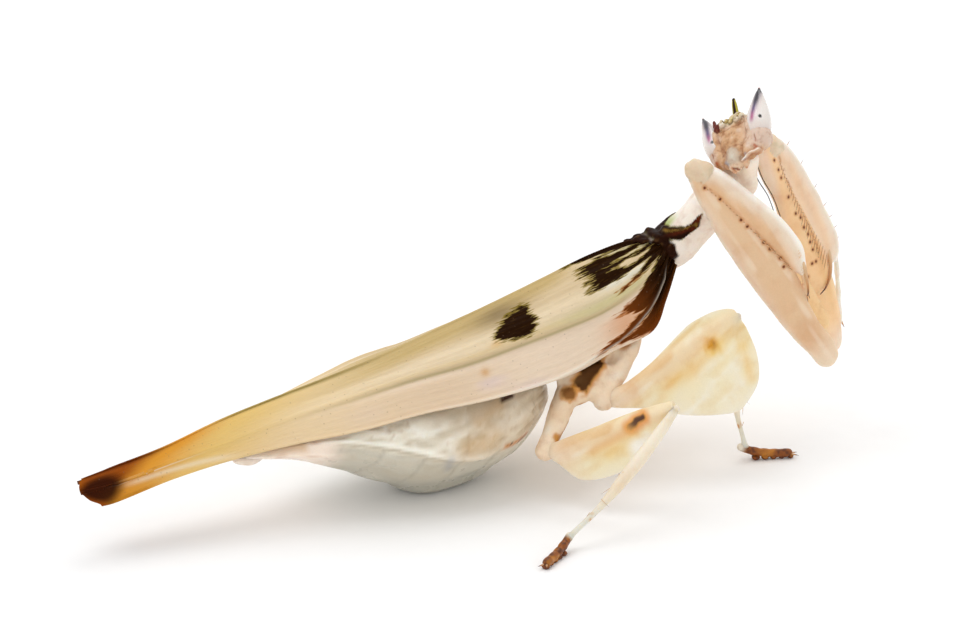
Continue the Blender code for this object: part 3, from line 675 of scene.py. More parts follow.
def wing_ground(distance, share):
    """The wing's ground colours: cream, pink along the front edge, amber to brown at the tip, and a painted
    highlight on the roof.
    """
    x, c = distance.reshape(-1), share.reshape(-1)
    flat = np.stack([x, c * WING_SPREAD, x * 0], -1)
    cloud, veil = lumps(flat, (5.0, 1.8, 1), 5), lumps(flat, (3.4, 1.3, 1), 6)
    top = np.interp(x, [6, 8.5, 11, 14, 20, 30], [0.1, 0.15, 0.2, 0.27, 0.3, 0.4]) + 0.03 * cloud
    cell = hump(c - np.interp(x, [1, 2, 3.8], [0.15, 0.19, 0.215]), 0.025) * span(x, 0.8, 1.6, 3.2, 4.4)
    halo = hump(np.hypot((x - 13.5) / 2.0, (c - 0.19) * 8), 1.0)
    pale = np.abs(c - np.interp(x, [34, 37.3, 40.4, 43.5], [0.97, 0.83, 0.74, 0.66])) * 3
    patch = np.hypot((x - 44.55) / 1.35, (c - 0.6) / 0.36)
    rim = hump(pale_vein(distance, share).reshape(-1), 0.1)
    return coats(
        flood(len(x), "#D8C19C"),
        # painted highlight: the roof lighter in a band above the ridge vein
        ("#EAD6B6", span(c, 0.28, 0.4, 0.5, 0.56) * ease(2, 5, x) * 0.75),
        ("#EAD4BC", ease(0.58, 0.64, c) * ease(38, 24, x)),
        ("#D4BA9A", ease(0.62, 0.7, c) * span(x, 11, 20, 34, 40) * 0.7),
        ("#D9C6C4", ease(0.1, 0.8, veil) * ease(0.62, 0.72, c) * span(x, 6, 9, 20, 30) * 0.6),
        ("#DCA680", hump(x - 4.6, 1.7) * span(c, 0.66, 0.74, 0.85, 0.95) * 0.8),
        ("#C88A4E", hump(x - 5.2, 1.2) * ease(0.1, 0.8, veil) * ease(0.64, 0.7, c) * 0.5),
        ("#CBB48A", hump(c - 0.53, 0.035) * span(x, 1, 4, 14, 34) * 0.75),
        ("#BDB98A", hump(c - 0.53, 0.05) * span(x, 1.5, 3, 6, 13) * 0.6),
        ("#A99C72", hump(c - 0.598, 0.014) * span(x, 3, 6, 20, 34) * 0.75),
        ("#B89C58", ease(top + 0.08, top - 0.12, c) * span(x, 6.0, 9, 22, 40) * 0.65),
        ("#C6C7A2", ease(0.3, 0.14, c) * ease(6.5, 3, x) * 0.5),
        ("#9C9A52", cell * ease(2.2, 4.0, x) * 0.8),
        ("#EEEAD8", hump(c - 0.425, 0.03) * span(x, 1.5, 2.4, 4, 7) * 0.8),
        ("#7A684C", halo * 0.7),
        ("#C98F45", hump(np.hypot(x - 16.1, (c - 0.72) * 8), 0.35) * 0.6),
        ("#D8A24A", hump(np.hypot((x - 14.6) / 1.5, (c - 0.49) * 8), 0.3) * 0.45),
        ("#EACFA2", ease(20, 30, x) * 0.6),
        ("#E2BC6A", ease(27, 36, x + 5 * (0.4 - c)) * 0.85),
        ("#D98E1A", ease(34.5, 40.5, x + 5.0 * (0.4 - c) + 0.8 * cloud) * 0.85),
        ("#8C7A3A", ease(0.12, 0.0, c) * span(x, 20, 27, 33, 37) * 0.7),
        ("#8A3C06", ease(39.6, 43.0, x + 4.0 * (0.22 - c) + 0.6 * cloud) * 0.92),
        ("#5A2406", ease(0.2, 0.02, c) * ease(37.5, 42.5, x) * 0.8),
        ("#F0E0C4", hump(pale, 0.24) * span(x, 33.5, 36.5, 41.5, 43.8) * 0.6),
        ("#F0E0C4", hump(c - 0.6, 0.02) * span(x, 36, 40, 43, 44.5) * 0.6),
        ("#C08326", ease(0.9, 1.0, c) * span(x, 40, 42, 44, 45.6) * 0.8),
        ("#2E0D03", ease(1.45, 0.6, patch + 0.12 * veil) * 0.95),
        ("#A0560C", ease(45.2, 45.9, x) * ease(0.5, 0.2, c) * 0.6),
        ("#F3ECDD", rim * ease(30, 5, x) * 0.7),
    )


def lay_map(distance, share):
    """A map that lies along the wing, so that its fibres do too."""
    return np.stack([distance.reshape(-1), share.reshape(-1) * WING_SPREAD], -1) / LAY_SIZE


def make_forewing(side, leather):
    grid, distance, share = wing_grid(side, WING_STEPS, WING_COLUMNS)
    dark = dark_depth(distance, share)
    relief = wing_relief(distance, share, dark)
    rim = span(share, 0.0, 0.02, 0.985, 1.0)
    grid = lifted(grid, (relief - FOREWING_SINK) * (0.3 + 0.7 * rim))
    tip = ease(43.2, 45.8, distance)
    grid[..., 0] -= tip * (0.45 * np.sin(math.pi * share ** 0.9) - (0.45 if side == LEFT else 0.0))
    grid[..., 0] += tip * ease(0.8, 1.0, share) * 0.35
    vein = 0.9 * hump(pale_vein(distance, share), 0.06) * span(distance, 0.1, 1.2, 6, 9)
    sheet = part(grid, wrap=False, dark=np.clip(dark, -3, 3), rust=rust_share(distance, share), vein=vein)
    thing = piece(f"forewing_{SIDE_NAME[side]}", joined([sheet]), [leather],
                  [f"tegmen_{SIDE_NAME[side]}"], wing_ground(distance, share), lay_map(distance, share))
    thicken(thing, FOREWING_THICK)


def thicken(thing, thick):
    """A sheet given its thickness, in mm, on its underside."""
    normals = np.zeros(len(thing.data.polygons) * 3)
    thing.data.polygons.foreach_get("normal", normals)
    if normals.reshape(-1, 3)[:, 2].mean() < 0:
        thing.data.flip_normals()
    shell = thing.modifiers.new("thickness", "SOLIDIFY")
    shell.thickness = thick * MM
    shell.offset = -1.0


def make_hindwing(side, membrane):
    """The hindwing, folded fan-wise under the forewing; only its edges can be seen."""
    grid, distance, share = wing_grid(side, 8, 60, 0.06, 0.86)
    keep = (distance[:, 0] > HINDWING_ROOT) & (distance[:, 0] < HINDWING_END)
    grid, distance, share = grid[keep], distance[keep], share[keep]
    fold = 0.07 * np.sin(share * 110) - HINDWING_SINK - 0.25 * ease(0.75, 0.86, share)
    grid = lifted(grid, fold)
    ground = paint(flood(distance.size, "#E8DCC6"), "#D9A25A", ease(28, 40, distance.reshape(-1)) * 0.8)
    fan = joined([part(grid, wrap=False)])
    thing = piece(f"hindwing_fan_{SIDE_NAME[side]}", fan, [membrane],
                  [f"hindwing_{SIDE_NAME[side]}"], ground, lay_map(distance, share))
    thicken(thing, HINDWING_THICK)


# ---- abdomen ---------------------------------------------------------------

# x, underside z, top z, half width
ABDOMEN_ROWS = [
    (8.7, 6.0, 8.2, 1.3),
    (8.1, 3.9, 9.3, 3.3),
    (6.5, 1.7, 10.2, 4.9),
    (4.0, 0.4, 10.2, 5.8),
    (1.0, -0.12, 9.9, 6.1),
    (-1.5, -0.08, 9.4, 6.1),
    (-4.5, 1.1, 8.9, 5.6),
    (-8.0, 2.9, 8.2, 4.6),
    (-11.0, 4.1, 7.4, 3.55),
    (-13.6, 4.8, 6.6, 2.4),
    (-16.0, 5.1, 6.0, 1.2),
    (-16.7, 5.2, 5.6, 0.6),
]
BELLY_SQUEEZE = 0.24
# height of the side keel, as an angle up from the belly's middle, along x
SIDE_KEEL = ((-12, -8, -4.5, -2, 0, 2), (30, 21, 11, 2, -7, -10))
SEGMENT_ENDS = (6.4, 3.3, 0.2, -3.0, -6.2, -9.2, -11.8, -14.0, -15.8)


def abdomen_part():
    """The belly's surface, with each point's angle up its side, its nearness to a groove, and its folds."""
    rows, grid, angle = sections(ABDOMEN_ROWS, 16, 112, 1.98)
    slope = np.degrees(np.arcsin(np.sin(angle)))[None]
    grid[..., 1] *= 1 - BELLY_SQUEEZE * ease(5, -50, slope)
    x = grid[..., 0] - 1.1 * np.sin(np.radians(slope)) * ease(9, 4, grid[..., 0])
    size = np.clip(rows[:, 3] / 6.0, 0.15, 1.0)[:, None]
    groove = np.zeros_like(x)
    plate = np.zeros_like(x)
    for front, rear in zip((9.5,) + SEGMENT_ENDS, SEGMENT_ENDS + (-18.5,)):
        groove += hump(x - rear, 0.13)
        inside = (x <= front) & (x > rear)
        plate = np.where(inside, (front - x) / (front - rear), plate)
    flat = np.stack([grid[..., 0], np.repeat(slope, len(rows), 0) / 12, grid[..., 1] * 0.3], -1).reshape(-1, 3)
    bent = flat + 0.35 * np.stack([lumps(flat, (1.8, 1.2, 3), 13 + k) for k in range(3)], 1)
    folds = 1 - np.abs(lumps(bent, (2.4, 0.6, 3.0), 11)).reshape(x.shape) * 2
    small = 1 - np.abs(lumps(bent, (0.9, 0.28, 1.2), 12)).reshape(x.shape) * 2
    soft = lumps(flat, (2.6, 2.0, 3.0), 16).reshape(x.shape)
    off_keel = slope - np.interp(grid[..., 0], *SIDE_KEEL)
    length = ease(4, 1, grid[..., 0]) * ease(-14, -9, grid[..., 0])
    keel = hump(off_keel - 2, 6.0) * length
    side_band = hump(off_keel - 22, 20)
    bulge = np.sin(math.pi * plate) ** 0.7 * hump(slope - 8, 22) * ease(-4, 3, grid[..., 0])
    height = 0.05 * (plate ** 0.6) - 0.025 * groove + 0.22 * bulge
    height += 0.22 * side_band * folds + 0.1 * side_band * small + 0.12 * soft
    height += 0.26 * keel + 0.16 * ease(-6, 8, off_keel) * length - 0.14 * hump(off_keel + 14, 9) * length
    height += 0.05 * side_band * (1 - np.abs(lumps(bent, (1.4, 0.2, 3.0), 15)).reshape(x.shape) * 2)
    inset = 0.3 + 0.12 * side_band
    clear = ease(0.25, 1.2, grid[..., 2])
    grid = lifted(grid, (height - inset) * size * clear, np.sin(angle))
    grid[..., 2] = np.maximum(grid[..., 2], 0.0)
    return part(grid), slope, groove, folds


def abdomen_ground(points, slope, groove, folds):
    x, z = points[:, 0], points[:, 2]
    off_keel = slope - np.interp(x, *SIDE_KEEL)
    side_band = hump(off_keel - 22, 24)
    length = ease(4, 1, x) * ease(-14, -9, x)
    cloud, flecks = lumps(points, (2.0, 1.2, 0.9), 23), lumps(points, (1.2, 0.7, 0.5), 21)
    lines = lumps(points + 0.3 * cloud[:, None], (2.2, 0.9, 0.42), 25)
    flat = points * (1, 0, 1)
    ground = coats(
        flood(len(points), "#DED4BE"),
        ("#C6BFAE", ease(-2, -12, off_keel) * (0.35 + 0.5 * length)),
        ("#B4B2A6", ease(-30, -60, slope) * 0.6),
        ("#DCD4C2", ease(0.0, 0.8, cloud) * 0.4),
        # painted highlight on the fold crests of the side band and painted shade in the folds between them
        ("#FBF5E6", side_band * ease(0.1, 0.7, folds) * 0.8),
        ("#D6BA90", side_band * ease(-0.1, -0.8, folds) * ease(-9, -6, x) * 0.45),
        ("#A8A294", np.clip(groove, 0, 1) * ease(4, -6, off_keel) * 0.4),
        # painted highlight along fine fold lines, with painted shade just beside them
        ("#FFFCF2", hump(lines, 0.1) * side_band * ease(-12, -9, x) * 0.65),
        ("#B79C78", hump(lines - 0.2, 0.05) * side_band * ease(-12, -9, x) * 0.45),
        # painted highlight along the side keel and painted shade just below it
        ("#FFFBEE", hump(off_keel - 3, 3.2) * length * 0.9),
        ("#A99C84", hump(off_keel + 2.2, 1.8) * length * 0.55),
        # warmer tone at the belly's front, with painted shade from the wing over it
        ("#CBAE86", ease(-3.5, 2.5, x + 1.5 * cloud) * ease(-30, 0, slope) * 0.5),
        # painted shade in the creases between the bulges at the belly's front
        ("#D2AE7C", hump(to_line(flat, [(2.4, 0, 5.6), (0.2, 0, 5.3)]), 0.7) * 0.55),
        ("#C9A472", hump(to_line(flat, [(3.4, 0, 7.7), (1.2, 0, 6.9)]), 0.4) * 0.5),
        # painted blue-grey shade
        ("#9DA2AC", hump(to_line(flat, [(-1.2, 0, 4.6), (-0.8, 0, 3.4)]), 0.35) * 0.45),
        # peach rear, painted near white to lift the wing's shadow on it
        ("#FFEBDA", ease(-8.0, -10.5, x) * 0.95),
        ("#E0B468", ease(-8.5, -11.0, x) * ease(5.6, 6.6, z) * ease(0.0, 0.5, cloud) * 0.5),
        ("#B98A62", ease(-8.0, -11, x) * ease(0.35, 0.8, flecks) * 0.3),
    )
    for side in (LEFT, RIGHT):
        streak = to_line(points, [(3.7, 5.74 * side, 4.33), (4.6, 5.5 * side, 4.48), (5.5, 5.1 * side, 4.72)])
        ragged = streak + 0.14 * lumps(points, 0.22, 22)
        mark = to_line(points, [(3.7, 4.75 * side, 8.0), (4.4, 4.6 * side, 8.15)]) + 0.08 * flecks
        ground = coats(
            ground,
            ("#C87A20", ease(0.62, 0.25, ragged) * 0.85),
            ("#451A06", ease(0.3, 0.18, ragged) * 0.95),
            ("#3A1608", ease(0.3, 0.15, mark) * 0.95),
        )
    return ground


# ---- forebody --------------------------------------------------------------

# x, underside z, top z, half width
THORAX_ROWS = [
    (7.4, 6.6, 9.6, 1.6),
    (9.1, 7.5, 10.8, 2.5),
    (10.6, 8.0, 11.8, 3.1),
    (13.0, 9.0, 13.0, 3.2),
    (15.4, 10.3, 14.5, 2.9),
    (17.3, 11.7, 15.4, 2.4),
    (18.8, 13.4, 16.2, 1.9),
    (19.6, 14.6, 16.5, 1.4),
]
PROTHORAX_REAR = np.array((19.9, 0.0, 15.3))
PROTHORAX_YAW = math.radians(28.0)
PROTHORAX_PITCH = math.radians(52.0)
# distance along the column, half width, back height, breast depth
PROTHORAX_ROWS = [
    (-1.6, 1.0, 0.8, 1.1),
    (-0.6, 1.7, 1.25, 1.4),
    (0.3, 1.95, 1.6, 1.6),
    (0.9, 1.95, 1.6, 1.72),
    (3.2, 1.68, 1.45, 1.72),
    (5.6, 2.12, 1.5, 1.8),
    (7.0, 2.2, 1.5, 1.7),
    (8.1, 1.55, 1.1, 1.2),
    (8.6, 0.9, 0.7, 0.8),
]
# Rear and fore edge of the dark collar along the column, by angle up from its side, in degrees.
COLLAR_REAR = ((-4, -2, 2, 8, 28, 42, 60, 90), (3.2, 2.9, 2.36, 1.64, 0.98, 0.47, 0.1, -0.1))
COLLAR_FORE = ((-4, -2, 3, 9, 13.5, 15.5, 21, 36, 55, 90), (3.2, 3.3, 3.65, 4.1, 4.1, 3.1, 2.5, 2.08, 1.6, 1.2))
COLLAR_STRIPE = ((8, 16, 28, 43, 90), (3.2, 2.63, 2.09, 1.38, 0.7))
FORE_COXA = {
    RIGHT: ((24.0, -4.3, 19.4), (27.3, -7.7, 10.6)),
    LEFT: ((25.7, -1.3, 18.9), (30.9, -3.9, 8.9)),
}
# top of the coxa, its end, knee, ankle and toe
MID_LEG = {
    RIGHT: ((15.1, -3.1, 10.1), (11.5, -5.6, 6.7), (21.8, -7.0, 12.4), (23.1, -6.35, 0.9), (26.4, -7.5, 0.38)),
    LEFT: ((15.1, 3.1, 10.1), (11.5, 5.6, 6.7), (17.9, 14.3, 8.4), (15.6, 17.0, 0.9), (17.3, 19.6, 0.38)),
}
HIND_LEG = {
    RIGHT: ((10.2, -3.6, 8.5), (6.2, -6.6, 4.1), (13.8, -13.0, 8.8), (3.8, -14.9, 0.9), (1.1, -16.85, 0.38)),
    LEFT: ((10.2, 3.6, 8.5), (6.2, 6.6, 4.1), (13.1, 13.5, 7.2), (3.6, 16.4, 0.9), (0.8, 18.7, 0.38)),
}


def prothorax_frame():
    """The column's own axes: along it, out of its back, and to its left."""
    ahead = np.array((math.cos(PROTHORAX_YAW), -math.sin(PROTHORAX_YAW), 0.0))
    up = np.array((0.0, 0.0, 1.0))
    axis = ahead * math.cos(PROTHORAX_PITCH) + up * math.sin(PROTHORAX_PITCH)
    back = up * math.cos(PROTHORAX_PITCH) - ahead * math.sin(PROTHORAX_PITCH)
    return axis, back, np.cross(back, axis)


def prothorax_part():
    axis, back, left = prothorax_frame()
    rows = through(PROTHORAX_ROWS, 10)
    centres = PROTHORAX_REAR + axis * rows[:, :1]
    return part(rings(centres, left, back, rows[:, 1], rows[:, 2], rows[:, 3], 48, 2.1)[0])


def walking_coxa(points):
    rows = rod(points[0], points[1], (0, 0.8), (0.25, 0.95), (0.6, 0.86), (0.85, 0.78), (1, 0.84))
    return tube(rows, (0, 0, 1), 30, 6, 0.95)


def fore_coxa(side):
    top, bottom = FORE_COXA[side]
    rows = rod(between(top, bottom, 0.08), bottom, (0, 0.7), (0.35, 0.95), (0.75, 0.82), (1, 0.66))
    return tube(rows, fore_frame(side)[4], 28, 6, 0.75)


def column_place(points):
    """Distance along the prothorax, distance off its axis, and angle up from its side in degrees."""
    axis, back, left = prothorax_frame()
    local = points - PROTHORAX_REAR
    along, across, up = local @ axis, local @ left, local @ back
    return along, np.hypot(across, up), np.degrees(np.arctan2(up, np.abs(across)))


def collar_depth(points):
    """How far inside the collar each point is, in mm; below 0 outside it."""
    along, off, angle = column_place(points)
    rear, fore = np.interp(angle, *COLLAR_REAR), np.interp(angle, *COLLAR_FORE)
    depth = (fore - rear) / 2 - np.abs(along - (rear + fore) / 2)
    return np.where((angle > -5) & (off < 3.2), depth, -1.0)


# Swellings of the thorax, on its back and on each side: centre and half axes.
BACK_LUMPS = (
    ((17.4, 0.0, 16.5), (0.7, 0.8, 0.34)), ((18.3, 0.0, 16.4), (0.75, 1.2, 0.42)),
    ((16.5, 0.2, 16.35), (0.6, 0.5, 0.28)), ((19.2, 0.0, 16.0), (0.5, 1.0, 0.5)),
)
SIDE_LUMPS = (
    ((19.0, 1.6, 15.7), (0.5, 0.6, 0.6)), ((13.0, 3.5, 9.8), (2.4, 0.7, 1.4)),
    ((10.2, 4.0, 8.2), (1.9, 0.6, 1.2)), ((11.3, 4.5, 8.4), (1.6, 0.7, 1.0)),
    ((9.6, 5.0, 7.3), (1.3, 0.7, 0.9)), ((11.2, 5.0, 7.3), (1.1, 0.8, 0.9)),
)
FOREBODY_VOXEL = 0.138


def forebody_part():
    """Thorax, prothorax, neck, throat, wing roots and all coxae, grown together."""
    axis, back, left = prothorax_frame()
    neck = rod(PROTHORAX_REAR + axis * 7.8, on_head(0.0, -0.2, -0.5), (0, 0.95), (0.5, 0.85), (1, 0.9))
    throat_front = rod(PROTHORAX_REAR + axis * 7.5 - back * 0.8, on_head(0.3, 1.5, -0.4),
                       (0, 1.0), (0.5, 0.92), (1, 0.85))
    solids = [part(sections(THORAX_ROWS, 8, 40, 2.1)[1]), prothorax_part(), tube(neck, (0, 1, 0)),
              tube(throat_front, (0, 1, 0))]
    upright = np.eye(3)
    solids += [ball(centre, upright, radii, 24) for centre, radii in BACK_LUMPS]
    for side in (LEFT, RIGHT):
        solids += [fore_coxa(side), walking_coxa(MID_LEG[side]), walking_coxa(HIND_LEG[side])]
        throat = PROTHORAX_REAR + axis * 7.6 + left * side * 0.9 - back * 1.05
        solids.append(ball(throat, (left, axis, back), (0.85, 1.1, 0.8), 24))
        solids += [ball((x, y * side, z), upright, radii, 24) for (x, y, z), radii in SIDE_LUMPS]
    skin, normals = grown_together("forebody", solids, FOREBODY_VOXEL, 4, material=1)
    points = skin["points"]
    crinkle = lumps(points, (0.9, 0.35, 0.5), 33)
    raised = ease(-0.05, 0.22, collar_depth(points) + 0.08 * crinkle)
    roots = wing_root(points)
    wrinkle = 0.06 * lumps(points, (1.6, 0.5, 0.6), 31) + 0.02 * lumps(points, 0.3, 32)
    wrinkle = wrinkle + raised * (0.24 + 0.09 * crinkle) + roots * 0.12 * crinkle
    skin["points"] = points + normals * (wrinkle - 0.05)[:, None]
    return skin


def wing_root(points):
    """1 on the crumpled plates where the wings join the body."""
    along, off, _ = column_place(points)
    clear = 1 - ease(-0.5, 0.1, along) * ease(2.6, 2.1, off)
    plates = ease(14.9, 15.5, points[:, 2]) * ease(19.9, 19.4, points[:, 0]) * clear
    hinges = [[(17.6, 1.3 * s, 16.6), (18.7, 1.7 * s, 16.1), (18.8, 2.1 * s, 15.1)] for s in (LEFT, RIGHT)]
    hinge = np.min([to_line(points, line) for line in hinges], axis=0) + 0.12 * lumps(points, 0.5, 34)
    return np.maximum(plates, ease(0.8, 0.62, hinge))


def forebody_ground(points):
    along, off, angle = column_place(points)
    on_column = ease(-2.2, -1.4, along) * ease(2.9, 2.3, off)
    cloud, grain = lumps(points, 0.9, 41), lumps(points, 0.28, 42)
    fold = lumps(points, (0.5, 0.5, 1.6), 43)
    depth = collar_depth(points) + 0.06 * grain
    fore = np.interp(angle, *COLLAR_FORE)
    green = on_column * ease(48, 75, angle) * ease(1.5, 0.2, along - fore) * ease(-0.3, 0.1, along - fore)
    stripe = np.abs(along - np.interp(angle, *COLLAR_STRIPE)) + 0.08 * grain
    roots = wing_root(points)
    ground = coats(
        flood(len(points), "#F2DCC0"),
        ("#E2BC92", ease(0.1, 0.9, cloud) * 0.3),
        ("#F5ECDC", ease(-0.2, -0.9, cloud) * 0.5),
        ("#C9AE94", ease(0.35, 0.8, fold) * on_column * ease(3.5, 1.0, along) * 0.4),
        ("#FBF4EC", on_column * 0.75),
        # pale cream throat, painted lighter still to lift the shade under the head
        ("#FAECDC", ease(6.2, 7.6, along)),
        ("#EFC99C", ease(6.0, 7.4, along) * ease(0.1, -0.6, cloud) * 0.35),
        ("#F4CE9C", ease(26.0, 27.5, points[:, 0])),
        ("#A5B456", green * 0.85),
        ("#6E6418", ease(-0.16, -0.02, depth) * 0.9),
        ("#220C02", ease(-0.03, 0.06, depth)),
        ("#8A6A2C", hump(stripe, 0.14) * ease(0.1, 0.3, depth) * ease(70, 50, angle) * 0.85),
        ("#5A200B", hump(stripe - 0.42, 0.22) * ease(0.05, 0.25, depth) * ease(50, 20, angle) * 0.8),
        ("#6A2A0E", ease(3.2, 3.8, along) * ease(0.0, 0.1, depth) * 0.8),
        ("#281004", roots),
        ("#6B4A28", roots * ease(0.2, 0.7, grain) * 0.5),
    )
    for side in (LEFT, RIGHT):
        mid_top, mid_hip = np.array(MID_LEG[side][0]), np.array(MID_LEG[side][1])
        hind_top, hind_hip = np.array(HIND_LEG[side][0]), np.array(HIND_LEG[side][1])
        wedge = to_line(points, [(9.9, 4.9 * side, 7.9), (10.8, 4.7 * side, 8.8), (11.8, 4.4 * side, 9.8)])
        patches = (
            (wedge, 0.62, "#3A1A04", 0.95),
            (to_spot(points, (8.8, 5.2 * side, 7.6)), 0.5, "#6E3C0C", 0.85),
            (to_line(points, [(13.8, 4.3 * side, 10.2), (14.9, 4.0 * side, 10.6)]), 0.28, "#A8672A", 0.6),
            (to_spot(points, hind_hip + (0.9, 0.2 * side, 0.9)), 0.3, "#C98A30", 0.7),
        )
        for near, size, code, strength in patches:
            near = near + 0.14 * grain + 0.1 * cloud
            ground = coats(
                ground,
                ("#CC8418", ease(size * 1.7, size, near) * strength * 0.9),
                (code, ease(size * 1.1, size * 0.75, near) * strength),
            )
        edge = to_line(points, [hind_top + (0.9, 0.9 * side, -0.7), hind_hip + (1.1, 0.1 * side, 0.6)])
        ground = coats(
            ground,
            ("#B0701C", ease(0.32, 0.1, edge + 0.12 * grain) * 0.8),
            ("#D8A668", hump(to_line(points, [hind_top, hind_hip]), 0.9) * ease(5.6, 6.4, points[:, 2]) * 0.3),
        )
        edge = to_line(points, [mid_top + (0.75, 0.6 * side, -0.5), between(mid_top, mid_hip, 0.35)])
        ground = paint(ground, "#C08A54", hump(edge, 0.25) * 0.35)
    return ground


# ---- head ------------------------------------------------------------------

HEAD_CENTRE = np.array((23.7, -3.2, 24.1))
HEAD_LEFT = unit((0.59, -0.57, 0.57))
HEAD_DOWN = np.array((-0.13, -0.76, -0.63))
HEAD_DOWN = unit(HEAD_DOWN - HEAD_LEFT * (HEAD_DOWN @ HEAD_LEFT))
HEAD_TILT = math.radians(4.0)
HEAD_LEFT, HEAD_DOWN = (HEAD_LEFT * math.cos(HEAD_TILT) + HEAD_DOWN * math.sin(HEAD_TILT),
                        HEAD_DOWN * math.cos(HEAD_TILT) - HEAD_LEFT * math.sin(HEAD_TILT))
HEAD_OUT = np.cross(HEAD_DOWN, HEAD_LEFT)
HEAD_AXES = np.stack([HEAD_LEFT, HEAD_DOWN, HEAD_OUT])
EYE_PLACE = {LEFT: (1.93, -0.75, -0.1), RIGHT: (-1.88, -0.45, -0.1)}
EYE_SIZE = (0.9, 2.0, 1.05)
EYE_LEAN = math.radians(13.5)
EYE_TIP_PULL = 0.7
HORN_LENGTH = 1.75
# Height down the face, half width, depth behind and in front.
HEAD_ROWS = [
    (-1.95, 0.5, 0.4, 0.3),
    (-1.75, 0.95, 0.6, 0.45),
    (-1.3, 1.25, 0.85, 0.6),
    (-0.5, 1.45, 1.1, 0.85),
    (0.3, 1.6, 1.2, 1.0),
    (1.0, 1.3, 0.9, 1.08),
    (1.6, 0.8, 0.6, 1.0),
    (2.05, 0.4, 0.3, 0.85),
]
# Balls that fill the head out: place to the left, down and out, half axes, and sides.
FACE_BALLS = [
    ((-0.15, 1.5, 0.7), (0.7, 0.95, 0.52), 32),  # face shield, lip and mouth
    ((-0.2, 2.0, 0.82), (0.42, 0.5, 0.3), 26),
    ((-0.15, 2.42, 0.74), (0.2, 0.26, 0.18), 18),
    ((-1.42, -1.95, 0.4), (0.17, 0.42, 0.16), 20),  # leaf lobe beside the eye
    ((-1.25, -1.5, 0.5), (0.26, 0.4, 0.18), 20),
    ((0.0, -1.62, 0.5), (0.2, 0.2, 0.2), 16),  # simple eyes and the bump they sit on
    ((0.42, -1.88, 0.32), (0.19, 0.22, 0.2), 16),
    ((-0.42, -1.88, 0.32), (0.19, 0.22, 0.2), 16),
    ((0.1, -2.0, 0.0), (0.5, 0.3, 0.3), 20),
]
CHEEK = {LEFT: ((1.8, 0.3, -0.1), (0.92, 1.0, 1.0), 40), RIGHT: ((1.6, 0.3, -0.1), (0.92, 1.0, 1.0), 40)}
# The same for those on both sides: jaws, brow, palps, and the sockets of the feelers.
FACE_PAIRS = [
    ((1.45, 0.85, 0.2), (0.8, 0.8, 0.72), 32),
    ((1.5, -0.55, 0.0), (0.6, 1.25, 0.88), 32),
    ((0.95, 1.25, 0.45), (0.62, 0.7, 0.55), 28),
    ((0.55, 1.95, 0.55), (0.32, 0.45, 0.34), 22),
    ((0.5, 2.25, 0.5), (0.16, 0.3, 0.16), 16),
    ((0.62, -1.45, 0.62), (0.3, 0.24, 0.24), 18),
    ((0.62, -1.5, 0.84), (0.17, 0.16, 0.18), 16),
    ((0.95, -1.7, 0.4), (0.26, 0.28, 0.26), 18),
    ((1.2, -1.45, 0.45), (0.2, 0.3, 0.25), 18),
]
HEAD_VOXEL = 0.06
LEAF_LINE = [(-1.45, -2.3, 0.15), (-1.25, -1.7, 0.2), (-1.22, -1.35, 0.25)]
JAW_RIDGE = [(0.47, 1.95), (0.8, 1.75), (1.25, 1.58), (1.85, 1.45)]
# Lines on the face, by distance from its middle and down it, each with depth and width.
FACE_GROOVES = (
    ([(1.22, -1.45), (1.2, -0.45), (1.09, 0.23), (0.74, 0.78), (0.5, 1.28)], 0.06, 0.07),
    ([(0.0, 0.62), (0.45, 0.68), (0.74, 0.8)], 0.05, 0.07),
    ([(0.74, 0.78), (1.1, 0.55), (1.4, 0.3)], 0.03, 0.06),
    ([(0.0, -1.1), (0.5, -1.0), (1.15, -1.2)], 0.04, 0.08),
    ([(0.35, 1.95), (0.62, 1.35), (0.72, 0.85)], 0.05, 0.06),
    ([(1.9, 0.35), (1.85, 0.75)], 0.04, 0.05),
)


def on_head(left_by, down_by, out_by):
    return HEAD_CENTRE + np.array((left_by, down_by, out_by)) @ HEAD_AXES


def head_place(points):
    """How far each point is to the left, down and out, in the head's own axes."""
    return (points - HEAD_CENTRE) @ HEAD_AXES.T


def head_part():
    """The capsule, cheeks, face shield, lip, jaws, sockets and simple eyes, grown together."""
    rows = through(HEAD_ROWS, 8)
    centres = HEAD_CENTRE + HEAD_DOWN * rows[:, :1]
    capsule = rings(centres, HEAD_LEFT, HEAD_OUT, rows[:, 1], rows[:, 3], rows[:, 2], 48, 2.2)[0]
    balls = list(FACE_BALLS)
    for side in (LEFT, RIGHT):
        balls += [((u * side, v, n), *size) for (u, v, n), *size in [CHEEK[side], *FACE_PAIRS]]
    solids = [part(capsule)]
    solids += [ball(on_head(*centre), HEAD_AXES, radii, sides) for centre, radii, sides in balls]
    skin, normals = grown_together("head", solids, HEAD_VOXEL, 3, material=2)
    points = skin["points"]
    u, v, n = head_place(points).T
    flat = np.stack([u, v], 1)
    front = ease(0.1, 0.5, n)
    height = 0.03 * lumps(points, 0.45, 51) + 0.014 * lumps(points, 0.15, 52)
    for groove, depth, width in FACE_GROOVES:
        height = height - depth * hump(to_line(np.stack([np.abs(u), v], 1), groove), width) * front
    jaw = to_line(flat, JAW_RIDGE)
    height = height + 0.07 * hump(jaw, 0.06) * ease(-0.2, 0.3, n) - 0.05 * hump(jaw - 0.16, 0.06) * front
    lip = ease(1.1, 0.9, np.hypot((u + 0.18) / 0.58, (v - 1.45) / 0.95))
    height = height + 0.06 * lip * front
    skin["points"] = points + normals * height[:, None]
    return skin


